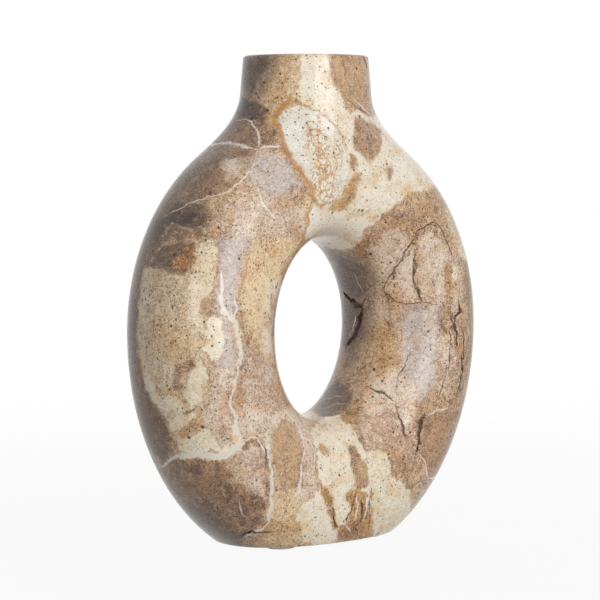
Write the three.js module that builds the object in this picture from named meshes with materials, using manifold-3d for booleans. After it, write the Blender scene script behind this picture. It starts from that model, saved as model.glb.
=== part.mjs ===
// A ring-shaped marble vase: one carved stone body on four felt pads, with a loose liner cup for the water.
// Millimetres, +Z up. The ring stands in the XZ plane and its hole looks to the front (-Y) and the back (+Y).
// The origin is on the table top, under the middle of the foot.
import * as THREE from "three";
import { LoftGeometry } from "three/addons/geometries/LoftGeometry.js";
import { mergeVertices } from "three/addons/utils/BufferGeometryUtils.js";
import Module from "manifold-3d";

// Stone body
const stoneHeight = 330; // from the flat foot to the rim
const ringWidth = 274;
const ringDepth = 98.5;
const ringRise = 146; // from the ring's centre up to the crown of its outline, which the neck covers
const ringFall = 165.5; // from the ring's centre down to the lowest point of its whole outline
const footTrim = 21.5; // cut off that outline to make the flat foot
const outlinePower = 2.03; // 2 is an ellipse, and more is a squarer outline
const sectionPower = 2.2; // the same for the ring's section
const holeWidth = 96;
const holeHeight = 121;
const holeShift = 4; // the hole was carved this far to the right of the ring's middle
const neckDiameter = 85.5; // across the rim
const neckTaper = 4.8; // degrees, widening downwards
const neckBlend = 32; // width of the hollow curve where the neck runs into the shoulders
const faceBlend = 4; // the same at the front and back, where the neck runs into the ring's faces
const neckSink = 0.6; // below its blend the neck lies this far inside the ring
const rimRounding = 1.5;

// Liner cup and the bore that holds it
const linerBore = 44;
const linerWall = 1;
const linerFloor = 1.5;
const linerDepth = 88; // inside, from the lip's top face to the cup's floor
const linerCorner = 4; // rounding round the cup's floor
const lipWidth = 3;
const lipThickness = 1.6;
const lipRecess = 3; // from the rim down to the lip's top face
const linerClearance = 0.4;
const floorClearance = 4; // air under the cup, so that it hangs by its lip

// Felt pads
const padDiameter = 20;
const padThickness = 2;
const padInset = 4; // from the foot's edge to the pad's edge
const padAngle = 45; // degrees round the foot's oval, from its long axis

// Fineness of the faceted surfaces
const ringSections = 64;
const sectionPoints = 28;
const neckSections = 14;
const roundSides = 48;
const padSides = 28;
const cornerSteps = 4;
const solveSteps = 30;

// What follows from the sizes
const footHeight = padThickness;
const rimHeight = footHeight + stoneHeight;
const centreHeight = footHeight + ringFall - footTrim;
const neckFoot = centreHeight + (ringRise + holeHeight / 2) / 2; // mid-height of the ring's top
const neckSlope = Math.tan(THREE.MathUtils.degToRad(neckTaper));
const neckSquare = Math.cos(THREE.MathUtils.degToRad(neckTaper));
const linerRadius = linerBore / 2 + linerWall;
const lipRadius = linerRadius + lipWidth;
const lipTop = rimHeight - lipRecess;
const seatHeight = lipTop - lipThickness;
const linerInside = lipTop - linerDepth;
const linerBottom = linerInside - linerFloor;
const boreBottom = linerBottom - floorClearance;
const cutMargin = 20; // cutting solids reach this far past the stone

const wasm = await Module();
wasm.setup();

// Keeps the points of a geometry, joins the doubled ones and drops the triangles that have no area.
function weld(geometry) {
  const bare = new THREE.BufferGeometry().copy(geometry);
  bare.deleteAttribute("normal");
  bare.deleteAttribute("uv");
  const joined = mergeVertices(bare, 1e-3);
  const corners = joined.index.array;
  const kept = [];
  for (let i = 0; i < corners.length; i += 3) {
    const [a, b, c] = [corners[i], corners[i + 1], corners[i + 2]];
    if (a !== b && b !== c && c !== a) {
      kept.push(a, b, c);
    }
  }
  joined.setIndex(kept);
  return joined;
}

function toSolid(geometry) {
  const welded = weld(geometry);
  const vertProperties = new Float32Array(welded.attributes.position.array);
  const triVerts = new Uint32Array(welded.index.array);
  return new wasm.Manifold(new wasm.Mesh({ numProp: 3, vertProperties, triVerts }));
}

function toGeometry(solid) {
  const mesh = solid.getMesh();
  const geometry = new THREE.BufferGeometry();
  geometry.setAttribute("position", new THREE.BufferAttribute(mesh.vertProperties, 3));
  geometry.setIndex(new THREE.BufferAttribute(mesh.triVerts, 1));
  geometry.computeVertexNormals();
  return geometry;
}

// A turned solid round the Z axis, from radius and height pairs listed from its underside up to its top.
function turned(profile, sides) {
  const points = profile.map(([radius, height]) => new THREE.Vector2(radius, height));
  return new THREE.LatheGeometry(points, sides).rotateX(Math.PI / 2);
}

function named(name, geometry, material) {
  const mesh = new THREE.Mesh(geometry, material);
  mesh.name = name;
  return mesh;
}

// A power of a number that keeps the number's sign.
function signedPower(value, power) {
  return Math.sign(value) * Math.abs(value) ** power;
}

// Distance from the ring's centre to an oval outline whose rise and fall may differ.
function ovalRadius(cosine, sine, halfWidth, rise, fall, power) {
  const halfHeight = sine > 0 ? rise : fall;
  const sum = Math.abs(cosine / halfWidth) ** power + Math.abs(sine / halfHeight) ** power;
  return sum ** (-1 / power);
}

// The two outlines of the ring in one direction from its centre.
function ringRadii(cosine, sine) {
  const outer = ovalRadius(cosine, sine, ringWidth / 2, ringRise, ringFall, outlinePower);
  const hole = ovalRadius(cosine, sine, holeWidth / 2, holeHeight / 2, holeHeight / 2, 2);
  const inner = hole + holeShift * cosine;
  return { middle: (outer + inner) / 2, half: (outer - inner) / 2 };
}

// How far a point lies outside the ring, near enough: negative inside.
function ringField(x, y, z) {
  const rise = z - centreHeight;
  const distance = Math.max(Math.hypot(x, rise), 1e-6);
  const { middle, half } = ringRadii(x / distance, rise / distance);
  const across = Math.abs((distance - middle) / half) ** sectionPower;
  const deep = Math.abs(y / (ringDepth / 2)) ** sectionPower;
  return ((across + deep) ** (1 / sectionPower) - 1) * Math.min(half, ringDepth / 2);
}

// How far a point lies outside the tapered neck, which ends inside the ring.
function neckField(x, y, z) {
  const side = (Math.hypot(x, y) - neckDiameter / 2 - (rimHeight - z) * neckSlope) * neckSquare;
  return Math.max(side, neckFoot - z);
}

// The skin over neck and ring, which run together over the blend's width. Past that it dips into the ring.
function skinField(x, y, z) {
  const ring = ringField(x, y, z);
  const neck = neckField(x, y, z);
  const sideways = (x * x) / Math.max(x * x + y * y, 1e-6);
  const blend = neckBlend * sideways + faceBlend * (1 - sideways);
  const share = Math.max(blend - Math.abs(ring - neck), 0) / blend;
  const dip = ring < neck ? neckSink * (1 - share) ** 4 : 0;
  return Math.min(ring, neck) - (share * share * blend) / 4 + dip;
}

// One section of the ring, at an angle round its centre.
function ringSection(angle) {
  const cosine = Math.cos(angle);
  const sine = Math.sin(angle);
  const { middle, half } = ringRadii(cosine, sine);
  const points = [];
  for (let i = 0; i < sectionPoints; i += 1) {
    const turn = (i / sectionPoints) * 2 * Math.PI;
    const distance = middle + half * signedPower(Math.cos(turn), 2 / sectionPower);
    const y = (ringDepth / 2) * signedPower(Math.sin(turn), 2 / sectionPower);
    points.push(new THREE.Vector3(distance * cosine, y, centreHeight + distance * sine));
  }
  return points;
}

function ringSolid() {
  const sections = [];
  for (let i = 0; i <= ringSections; i += 1) {
    sections.push(ringSection(((i % ringSections) / ringSections) * 2 * Math.PI));
  }
  return toSolid(new LoftGeometry(sections));
}

// Distance from the neck's axis to the skin, level, in one direction.
function skinRadius(height, cosine, sine) {
  let inside = 0;
  let outside = ringWidth;
  for (let i = 0; i < solveSteps; i += 1) {
    const middle = (inside + outside) / 2;
    if (skinField(middle * cosine, middle * sine, height) < 0) {
      inside = middle;
    } else {
      outside = middle;
    }
  }
  return inside;
}

// One level section through neck and shoulders.
function neckSection(height) {
  const points = [];
  for (let i = 0; i < roundSides; i += 1) {
    const turn = (i / roundSides) * 2 * Math.PI;
    const radius = skinRadius(height, Math.cos(turn), Math.sin(turn));
    points.push(new THREE.Vector3(radius * Math.cos(turn), radius * Math.sin(turn), height));
  }
  return points;
}

function neckSolid() {
  const rimStart = rimHeight - rimRounding;
  const sections = [];
  for (let i = 0; i <= neckSections; i += 1) {
    sections.push(neckSection(THREE.MathUtils.lerp(neckFoot, rimStart, i / neckSections)));
  }
  const inset = 1 - rimRounding / (neckDiameter / 2);
  const roundingStart = sections.at(-1);
  sections.push(roundingStart.map(({ x, y }) => new THREE.Vector3(x * inset, y * inset, rimHeight)));
  return toSolid(new LoftGeometry(sections, { capStart: true, capEnd: true }));
}

// The bore for the liner cup, with the wider seat for its lip.
function boreSolid() {
  const bore = linerRadius + linerClearance;
  const seat = lipRadius + linerClearance;
  const above = rimHeight + cutMargin;
  return toSolid(
    turned(
      [
        [0, boreBottom],
        [bore, boreBottom],
        [bore, seatHeight],
        [seat, seatHeight],
        [seat, above],
        [0, above],
      ],
      roundSides,
    ),
  );
}

// Everything under the foot, which is cut off flat.
function footCut() {
  const depth = footTrim + cutMargin;
  const block = new THREE.BoxGeometry(ringWidth, ringDepth + cutMargin, depth);
  return toSolid(block.translate(0, 0, footHeight - depth / 2));
}

function stoneBody(material) {
  const solid = ringSolid().add(neckSolid()).subtract(footCut()).subtract(boreSolid());
  return named("stone_body", toGeometry(solid), material);
}

// A round from one direction to another, in degrees, as radius and height pairs.
function arc(centre, radius, from, to) {
  const points = [];
  for (let i = 0; i <= cornerSteps; i += 1) {
    const angle = THREE.MathUtils.degToRad(from + ((to - from) * i) / cornerSteps);
    points.push([centre[0] + radius * Math.cos(angle), centre[1] + radius * Math.sin(angle)]);
  }
  return points;
}

function linerCup(material) {
  const inside = linerBore / 2;
  const outerCorner = linerCorner + linerWall;
  const profile = [
    [0, linerBottom],
    ...arc([linerRadius - outerCorner, linerBottom + outerCorner], outerCorner, -90, 0),
    [linerRadius, seatHeight],
    [lipRadius, seatHeight],
    [lipRadius, lipTop],
    [inside, lipTop],
    ...arc([inside - linerCorner, linerInside + linerCorner], linerCorner, 0, -90),
    [0, linerInside],
  ];
  return named("liner_cup", turned(profile, roundSides), material);
}

// Half the length and half the depth of the flat foot.
function footHalves() {
  const lowered = (ringFall - footTrim) / ringFall;
  const length = (ringWidth / 2) * (1 - lowered ** outlinePower) ** (1 / outlinePower);
  const { middle, half } = ringRadii(0, -1);
  const across = Math.abs((ringFall - footTrim - middle) / half);
  const depth = (ringDepth / 2) * (1 - across ** sectionPower) ** (1 / sectionPower);
  return { length, depth };
}

function feltPad(name, x, y, material) {
  const pad = new THREE.CylinderGeometry(padDiameter / 2, padDiameter / 2, padThickness, padSides);
  const mesh = named(name, pad.rotateX(Math.PI / 2), material);
  mesh.position.set(x, y, padThickness / 2);
  return mesh;
}

// Four pads on an oval inside the foot's edge.
function feltPads(material) {
  const foot = footHalves();
  const inset = padInset + padDiameter / 2;
  const x = (foot.length - inset) * Math.cos(THREE.MathUtils.degToRad(padAngle));
  const y = (foot.depth - inset) * Math.sin(THREE.MathUtils.degToRad(padAngle));
  return [
    feltPad("felt_pad_front_left", -x, -y, material),
    feltPad("felt_pad_front_right", x, -y, material),
    feltPad("felt_pad_back_left", -x, y, material),
    feltPad("felt_pad_back_right", x, y, material),
  ];
}

const marble = new THREE.MeshStandardMaterial({ color: 0xb59a80, roughness: 0.25, metalness: 0 });
const steel = new THREE.MeshStandardMaterial({ color: 0xb9bab8, roughness: 0.35, metalness: 1 });
const felt = new THREE.MeshStandardMaterial({ color: 0x4a4038, roughness: 0.95, metalness: 0 });

const vase = new THREE.Group();
vase.add(stoneBody(marble));
vase.add(linerCup(steel));
vase.add(...feltPads(felt));

export default vase;
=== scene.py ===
"""Looks of a ring-shaped marble vase, built in metres around its packed frame.

The stone is carved again as one fine skin from the sizes of its solid. Its clasts, veins and cracks are drawn
as outlines and routes in picture pixels, cast on to that skin, and kept there as distances in millimetres,
which the stone's finish turns into colour, gloss and relief.
"""

from __future__ import annotations

import logging
import math
from dataclasses import dataclass, field, replace
from enum import Enum
from itertools import product

import bpy
import numpy as np
from mathutils import Matrix, Vector


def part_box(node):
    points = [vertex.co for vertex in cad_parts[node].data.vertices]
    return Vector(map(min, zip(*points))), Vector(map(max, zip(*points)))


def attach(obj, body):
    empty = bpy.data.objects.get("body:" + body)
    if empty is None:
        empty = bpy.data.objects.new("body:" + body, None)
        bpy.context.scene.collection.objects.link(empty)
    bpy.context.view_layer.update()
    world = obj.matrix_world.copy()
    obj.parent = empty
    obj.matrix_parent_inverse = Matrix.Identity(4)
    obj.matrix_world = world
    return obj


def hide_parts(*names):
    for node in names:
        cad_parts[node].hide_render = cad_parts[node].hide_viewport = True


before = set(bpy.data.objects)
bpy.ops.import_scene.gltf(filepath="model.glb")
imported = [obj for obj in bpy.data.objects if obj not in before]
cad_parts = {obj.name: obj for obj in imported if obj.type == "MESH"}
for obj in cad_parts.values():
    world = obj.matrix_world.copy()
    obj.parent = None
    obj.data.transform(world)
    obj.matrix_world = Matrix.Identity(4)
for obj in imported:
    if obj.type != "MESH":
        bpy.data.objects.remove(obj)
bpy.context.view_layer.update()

MM = 0.001
PICTURE = 600.0  # pixels along each side of the picture
TINY = 1e-6  # keeps a division from dividing by nothing
HALF_WAY = 0.5  # the middle of a pattern, which goes from 0 to 1
WHITE = "#ffffff"

SMOOTH = {"interpolation_type": "SMOOTHSTEP"}  # settings that several nodes share
COLOURS = {"data_type": "RGBA"}
NUMBERS = {"data_type": "FLOAT"}
ADD = {"operation": "ADD"}
MULTIPLY = {"operation": "MULTIPLY"}
MULTIPLY_ADD = {"operation": "MULTIPLY_ADD"}
ABSOLUTE = {"operation": "ABSOLUTE"}
LENGTH = {"operation": "LENGTH"}

log = logging.getLogger("marble_vase")

Pixels = tuple[tuple[float, float], ...]
Tree = bpy.types.NodeTree
Socket = bpy.types.NodeSocket


class Side(Enum):
    """A side that marks are drawn on: degrees that the viewer walks round the vase to see it."""

    FRONT = 0.0
    BACK = 180.0


class Mark(Enum):
    """What a mark in the stone is, or painted light and shade laid on it; the value names its layer on the
    mesh.
    """

    EARTH = "earth"
    # lilac stone with painted sheen: the key softbox's highlight laid in as pale colour
    LILAC_SHEEN = "lilac"
    TAN = "tan"
    GOLD = "gold"
    # soft pale patches; by the hole and on the right limb they also carry painted light
    BLOOM = "bloom"
    # dark soft patches: real stains, and painted shade on the neck's left side and inside the hole
    STAIN_AND_SHADE = "stain"
    CREAM = "cream"
    WHITE = "white"
    BROWN = "brown"
    DARK = "dark"
    OCHRE = "ochre"
    HONEY = "honey"
    RUST = "rust"
    VEIN = "vein"
    CRACK = "crack"


@dataclass(frozen=True)
class Clast:
    """A patch of other stone, outlined in picture pixels. Points past the vase's edge lie round its side."""

    mark: Mark
    outline: Pixels
    tone: float = 0.0  # towards its deep colour below 0, towards its pale one above
    side: Side = Side.FRONT


@dataclass(frozen=True)
class Seam:
    """A vein, crack or stained line along a route in picture pixels, with half its width in millimetres."""

    mark: Mark
    half_width: float
    route: Pixels
    side: Side = Side.FRONT
    strength: float = 1.0  # under about 0.5 it hardly shows


class FrontMarks:
    """What the stone shows on the side that the picture was taken from, with painted sheen and shade in
    places.
    """

    shoulder_top = Clast(
        Mark.EARTH,
        ((234, 119), (247, 119), (256, 122), (268, 118), (276, 130), (272, 143), (258, 148), (245, 146),
         (228, 142), (214, 143), (206, 147), (180, 142), (205, 108)),
        -0.8,
    )
    shoulder_low = Clast(
        Mark.EARTH,
        ((203, 150), (228, 145), (245, 149), (254, 153), (248, 168), (239, 181), (226, 191), (205, 199),
         (185, 206), (166, 216), (135, 222), (150, 180), (180, 150)),
        -0.6,
    )
    # brown band along the left outline, made very dark as painted shade on the shaded side of the vase
    left_edge_shade = Clast(
        Mark.EARTH,
        ((166, 217), (160, 230), (166, 240), (156, 252), (150, 266), (144, 274), (140, 292), (138, 320),
         (138, 345), (144, 372), (152, 398), (162, 414), (172, 440), (164, 462), (140, 440), (118, 412),
         (110, 380), (120, 346), (104, 316), (118, 284), (106, 258), (128, 238), (135, 222)),
        -1.5,
    )
    lower_left = Clast(
        Mark.EARTH,
        ((164, 467), (172, 459), (184, 456), (198, 457), (208, 455), (221, 456), (230, 455), (238, 449),
         (244, 444), (250, 440), (256, 441), (262, 449), (266, 462), (269, 480), (269, 495), (267, 510),
         (262, 524), (250, 531), (238, 545), (215, 560), (180, 540), (150, 495), (146, 470)),
        -0.6,
    )
    # the lower left edge, made very dark as painted shade where it faces down and away from the lights
    lower_edge_shade = Clast(
        Mark.EARTH,
        ((176, 500), (200, 508), (222, 518), (244, 532), (238, 548), (215, 560), (180, 540)),
        -1.6,
    )
    lower_left_glow = Clast(
        Mark.BLOOM,
        ((224, 464), (240, 450), (252, 441), (262, 450), (268, 478), (264, 496), (250, 492), (236, 480)),
        -0.2,
    )
    right_low = Clast(
        Mark.EARTH,
        ((426, 418), (436, 412), (450, 410), (472, 408), (470, 440), (452, 480), (432, 486), (428, 478),
         (425, 465), (421, 455), (422, 438)),
        0.25,
    )
    right_side = Clast(
        Mark.EARTH,
        ((476, 268), (490, 250), (512, 272), (520, 318), (508, 352), (512, 380), (488, 400), (474, 396),
         (484, 350), (479, 306)),
        -0.3,
    )
    side_tan = Clast(
        Mark.TAN, ((470, 214), (488, 200), (514, 222), (522, 250), (500, 262), (480, 244)), 0.2
    )
    # pale lilac bands that also carry painted sheen: the key softbox's highlight on the limbs and crown, laid
    # in as colour
    upper_lilac_sheen = Clast(
        Mark.LILAC_SHEEN,
        ((222, 232), (248, 226), (254, 240), (247, 262), (243, 285), (240, 300), (236, 328), (224, 330),
         (217, 300), (219, 262), (215, 245)),
        -0.2,
    )
    crown_lilac_sheen = Clast(
        Mark.LILAC_SHEEN, ((258, 152), (286, 160), (298, 184), (284, 200), (262, 196), (250, 178)), 0.2
    )
    right_lilac_sheen = Clast(
        Mark.LILAC_SHEEN,
        ((398, 308), (437, 304), (439, 335), (437, 378), (425, 396), (397, 390), (394, 345)),
        0.3,
    )
    lower_lilac_sheen = Clast(
        Mark.LILAC_SHEEN, ((218, 322), (232, 320), (238, 350), (232, 380), (220, 380), (217, 350)), 0.6
    )
    # its tone is kept a little lower as painted shade on the shaded left side
    left_patch = Clast(
        Mark.TAN,
        ((145, 268), (158, 266), (164, 268), (171, 273), (183, 274), (190, 268), (191, 256), (195, 249),
         (204, 242), (211, 238), (217, 249), (219, 257), (215, 273), (214, 287), (208, 297), (203, 310),
         (209, 350), (208, 385), (206, 405), (214, 430), (220, 452), (198, 456), (180, 450), (174, 440),
         (168, 425), (160, 412), (153, 400), (148, 384), (142, 362), (137, 336), (139, 305), (142, 280)),
        0.35,
    )
    patch_top = Clast(
        Mark.TAN,
        ((194, 252), (204, 243), (211, 240), (216, 250), (218, 260), (214, 287), (206, 298), (202, 312),
         (204, 330), (196, 326), (190, 300), (192, 276)),
        1.4,
    )
    neck_left = Clast(
        Mark.TAN,
        ((226, 46), (301, 46), (301, 74), (298, 90), (290, 99), (277, 119), (268, 108), (258, 104),
         (246, 98), (232, 98), (220, 92)),
        -0.9,
    )
    hole_strip = Clast(
        Mark.GOLD,
        ((245, 256), (256, 238), (286, 228), (304, 239), (292, 256), (281, 280), (277, 305), (275, 335),
         (270, 362), (258, 352), (246, 330), (239, 300), (241, 280)),
        0.7,
    )
    neck_gold = Clast(
        Mark.GOLD, ((276, 46), (300, 46), (300, 80), (290, 98), (270, 104), (264, 92), (276, 74)), -0.2
    )
    limb_gold = Clast(
        Mark.GOLD, ((370, 322), (386, 318), (402, 334), (402, 368), (388, 378), (372, 366)), -0.2
    )
    patch_gold = Clast(
        Mark.GOLD, ((150, 318), (166, 326), (186, 330), (192, 348), (176, 362), (156, 352)), -0.2
    )
    patch_low_gold = Clast(Mark.GOLD, ((176, 410), (200, 404), (206, 420), (196, 432), (178, 430)), 0.1)
    oval_gold = Clast(
        Mark.GOLD, ((276, 412), (290, 420), (300, 438), (292, 446), (278, 436), (272, 424)), 0.2
    )
    foot_gold = Clast(
        Mark.GOLD, ((270, 495), (300, 488), (322, 505), (322, 536), (300, 560), (246, 560), (262, 530)), 0.3
    )
    low_bloom = Clast(
        Mark.BLOOM,
        ((362, 394), (374, 374), (396, 372), (404, 402), (408, 420), (392, 432), (366, 428)),
        1.3,
    )
    shoulder_gold = Clast(
        Mark.GOLD, ((296, 206), (308, 200), (308, 226), (300, 240), (284, 232), (284, 216)), 0.2
    )
    hole_foot = Clast(
        Mark.BLOOM,
        ((276, 396), (290, 398), (302, 412), (314, 422), (308, 438), (296, 424), (282, 416)),
        1.5,
    )
    # pale pink strip by the hole, made paler as painted light where the surface turns away from the key light
    hole_edge_painted_light = Clast(
        Mark.BLOOM,
        ((268, 286), (281, 278), (277, 305), (275, 335), (270, 362), (261, 346), (264, 316)),
        1.6,
    )
    oval_side = Clast(
        Mark.BLOOM,
        ((299, 420), (311, 426), (314, 446), (317, 466), (314, 486), (304, 484), (304, 452)),
        0.7,
    )
    strand_bloom = Clast(Mark.BLOOM, ((438, 340), (452, 334), (457, 372), (446, 394), (436, 382)), 0.3)
    strip_low = Clast(
        Mark.BLOOM,
        ((243, 340), (258, 360), (276, 366), (281, 384), (292, 404), (284, 414), (262, 412), (244, 404),
         (236, 384), (241, 356)),
        -0.6,
    )
    limb_foot = Clast(
        Mark.BLOOM,
        ((236, 402), (262, 408), (284, 414), (278, 424), (270, 436), (268, 448), (256, 436), (246, 436),
         (238, 442), (233, 422)),
        1.1,
    )
    pink_tan = Clast(
        Mark.BLOOM,
        ((209, 366), (232, 372), (231, 398), (234, 416), (238, 438), (230, 452), (216, 446), (207, 425),
         (205, 400)),
        0.4,
    )
    oval_clast = Clast(
        Mark.BLOOM,
        ((221, 165), (228, 159), (236, 158), (244, 163), (245, 171), (239, 178), (228, 178), (222, 172)),
        0.5,
    )
    arch_left = Clast(
        Mark.BLOOM,
        ((412, 244), (415, 258), (414, 280), (420, 300), (408, 303), (394, 297), (387, 288), (396, 274),
         (404, 258)),
        1.1,
    )
    arch_right = Clast(
        Mark.BLOOM,
        ((418, 240), (430, 232), (440, 240), (447, 258), (449, 282), (442, 300), (424, 300), (417, 276)),
        0.9,
    )
    arch_rim = Clast(
        Mark.BLOOM, ((452, 256), (460, 268), (462, 300), (455, 312), (450, 296), (453, 276)), 0.1
    )
    lower_right = Clast(
        Mark.BLOOM,
        ((356, 428), (366, 416), (392, 410), (412, 416), (416, 440), (408, 462), (394, 466), (386, 450),
         (366, 450)),
        -0.5,
    )
    # pale patch, partly painted highlight at the low end of the key softbox's band on the right limb
    right_pale = Clast(
        Mark.BLOOM, ((394, 372), (406, 374), (414, 392), (414, 420), (404, 424), (394, 398)), 0.9
    )
    foot_pink = Clast(Mark.BLOOM, ((300, 486), (314, 484), (318, 500), (304, 508), (296, 500)), 0.2)
    crown_bloom = Clast(
        Mark.BLOOM,
        ((214, 222), (226, 204), (250, 192), (284, 204), (304, 206), (302, 236), (266, 238), (222, 238)),
        0.3,
    )
    limb_bloom = Clast(
        Mark.BLOOM,
        ((370, 244), (398, 226), (412, 236), (402, 256), (388, 282), (376, 300), (366, 276)),
        0.4,
    )
    limb_mid = Clast(Mark.BLOOM, ((376, 292), (404, 304), (402, 334), (386, 320), (372, 318)), 0.1)
    # dark soft patch on the neck's left side, partly painted shade on that shaded side
    neck_stain_and_shade = Clast(
        Mark.STAIN_AND_SHADE, ((222, 44), (272, 44), (274, 60), (268, 78), (258, 92), (240, 98), (218, 84)), 0.5
    )
    smudge = Clast(
        Mark.STAIN_AND_SHADE,
        ((152, 218), (176, 206), (198, 204), (210, 212), (204, 224), (190, 231), (174, 234), (152, 238)),
        -1.1,
    )
    # the hole's far inner wall, darkened partly as painted shade inside the hole
    inner_wall = Clast(
        Mark.STAIN_AND_SHADE,
        ((334, 252), (350, 256), (368, 264), (376, 282), (366, 302), (350, 302), (338, 286)),
        0.5,
    )
    inner_wall_low = Clast(
        Mark.STAIN_AND_SHADE, ((340, 296), (366, 302), (372, 326), (360, 350), (346, 364), (340, 330)), 0.7
    )
    oval_smudge = Clast(Mark.STAIN_AND_SHADE, ((278, 440), (288, 438), (292, 456), (288, 468), (279, 462)), 1.0)
    neck_cream = Clast(
        Mark.CREAM,
        ((300, 44), (329, 44), (329, 62), (330, 76), (335, 86), (341, 92), (344, 106), (350, 114),
         (357, 108), (368, 116), (380, 113), (412, 140), (440, 165), (452, 182), (430, 189), (408, 196),
         (396, 204), (382, 215), (366, 230), (357, 244), (347, 252), (337, 248), (322, 247), (312, 241),
         (304, 240), (307, 226), (308, 214), (312, 207), (308, 184), (296, 166), (286, 150), (282, 134),
         (277, 120), (290, 100), (297, 90), (300, 74)),
        0.5,
    )
    # cream under the hole's top, made paler as painted light on a face that looks down
    under_cream_painted_light = Clast(
        Mark.CREAM,
        ((311, 210), (330, 214), (352, 206), (374, 214), (358, 240), (347, 250), (337, 247), (322, 246),
         (307, 238)),
        1.4,
    )
    bottom_cream = Clast(
        Mark.CREAM,
        ((310, 428), (320, 419), (337, 415), (350, 426), (358, 440), (365, 454), (371, 472), (369, 490),
         (371, 520), (352, 528), (340, 526), (334, 548), (318, 552), (300, 534), (294, 518), (300, 504),
         (310, 498), (318, 488), (316, 462), (313, 445)),
        1.0,
    )
    right_foot_cream = Clast(
        Mark.CREAM,
        ((366, 453), (374, 451), (386, 451), (389, 466), (393, 477), (402, 482), (409, 490), (412, 501),
         (410, 512), (402, 525), (394, 540), (372, 545), (372, 522), (370, 508), (370, 490), (372, 474)),
        -0.2,
    )
    patch_crust = Clast(
        Mark.CREAM,
        ((138, 348), (146, 352), (152, 378), (160, 394), (172, 391), (182, 396), (185, 408), (172, 414),
         (162, 410), (152, 400), (145, 384)),
        -0.1,
    )
    # pale column on the left limb, partly painted highlight
    pale_spot = Clast(
        Mark.CREAM,
        ((205, 316), (221, 318), (224, 340), (221, 358), (212, 364), (204, 352), (206, 335)),
        1.0,
    )
    left_low_cream = Clast(
        Mark.CREAM,
        ((176, 438), (186, 424), (204, 424), (214, 434), (222, 451), (205, 453), (190, 453), (178, 447)),
        0.3,
    )
    patch_low = Clast(
        Mark.CREAM, ((168, 420), (180, 412), (196, 413), (194, 422), (182, 430), (172, 432)), 0.0
    )
    vein_corner = Clast(
        Mark.CREAM,
        ((232, 424), (238, 428), (244, 438), (241, 450), (230, 457), (214, 459), (218, 450), (230, 441)),
        1.4,
    )
    yellow_cream = Clast(
        Mark.CREAM,
        ((190, 368), (200, 362), (208, 368), (207, 385), (204, 402), (192, 408), (184, 400), (187, 385)),
        0.2,
    )
    vein_crust = Clast(
        Mark.CREAM, ((230, 314), (238, 320), (243, 338), (240, 354), (235, 342), (233, 328)), 1.0
    )
    vein_crust_low = Clast(
        Mark.CREAM,
        ((176, 454), (198, 451), (222, 451), (232, 438), (242, 434), (241, 446), (233, 456), (220, 459),
         (200, 458), (182, 459)),
        1.4,
    )
    arch_edge = Clast(Mark.CREAM, ((452, 262), (456, 266), (457, 282), (453, 291), (450, 280)), 0.2)
    white_patch = Clast(
        Mark.WHITE,
        ((292, 103), (284, 111), (277, 120), (283, 134), (284, 147), (290, 155), (297, 166), (304, 177),
         (311, 186), (312, 196), (315, 203), (319, 206), (325, 202), (331, 203), (338, 196), (345, 185),
         (348, 172), (347, 152), (342, 135), (334, 125), (324, 113), (311, 108), (300, 104)),
    )
    neck_right = Clast(
        Mark.BROWN,
        ((329, 44), (366, 44), (380, 58), (386, 100), (374, 115), (368, 116), (357, 108), (346, 100),
         (342, 98), (340, 91), (335, 86), (330, 76)),
        0.6,
    )
    shoulder_clast = Clast(
        Mark.BROWN,
        ((354, 116), (364, 120), (373, 124), (380, 131), (382, 140), (380, 152), (374, 160), (368, 163),
         (361, 156), (354, 149), (353, 141), (354, 128)),
        0.3,
    )
    shoulder_chip = Clast(Mark.BROWN, ((349, 152), (356, 156), (357, 165), (353, 171), (349, 165)), 0.0)
    dark_chip = Clast(Mark.BROWN, ((386, 168), (391, 165), (394, 173), (389, 181), (386, 177)), -0.6)
    grey_band = Clast(
        Mark.BROWN,
        ((164, 225), (174, 223), (188, 229), (200, 232), (207, 238), (196, 242), (182, 240), (168, 237)),
        -0.7,
    )
    left_chip = Clast(
        Mark.BROWN,
        ((176, 364), (192, 359), (197, 366), (188, 374), (180, 380), (187, 384), (180, 392), (170, 390),
         (174, 381), (172, 372)),
        0.1,
    )
    patch_rust = Clast(Mark.BROWN, ((201, 298), (208, 296), (212, 304), (206, 316), (200, 314)), 1.2)
    lower_oval = Clast(
        Mark.BROWN,
        ((283, 418), (293, 424), (299, 436), (302, 450), (302, 465), (298, 480), (293, 486), (286, 488),
         (278, 484), (273, 468), (271, 450), (272, 436), (277, 428)),
        1.3,
    )
    bottom_chip = Clast(
        Mark.BROWN,
        ((347, 446), (355, 447), (360, 455), (366, 463), (368, 471), (369, 481), (365, 488), (356, 492),
         (353, 476), (350, 462)),
        0.3,
    )
    neck_shadow = Clast(
        Mark.DARK,
        ((246, 99), (254, 102), (261, 105), (267, 109), (268, 115), (265, 121), (256, 121), (246, 118),
         (238, 119), (229, 113), (234, 101)),
        -0.8,
    )
    left_dark = Clast(
        Mark.DARK,
        ((150, 266), (156, 254), (166, 247), (180, 243), (194, 244), (190, 257), (190, 267), (183, 274),
         (170, 273), (163, 267), (155, 268)),
        1.0,
    )
    inner_low = Clast(
        Mark.DARK,
        ((312, 410), (324, 394), (336, 380), (348, 386), (352, 398), (345, 411), (333, 417), (318, 417)),
        0.2,
    )
    leaf_clast = Clast(
        Mark.OCHRE,
        ((328, 209), (330, 205), (340, 197), (346, 187), (351, 178), (356, 170), (363, 176), (359, 183),
         (356, 190), (351, 200), (343, 207), (332, 212)),
        1.0,
    )
    left_stain = Clast(
        Mark.OCHRE, ((180, 432), (190, 422), (202, 419), (200, 428), (190, 434), (182, 437)), 1.2
    )
    bottom_stain = Clast(
        Mark.OCHRE, ((320, 484), (327, 490), (333, 498), (334, 508), (327, 506), (322, 496)), 0.1
    )
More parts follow.
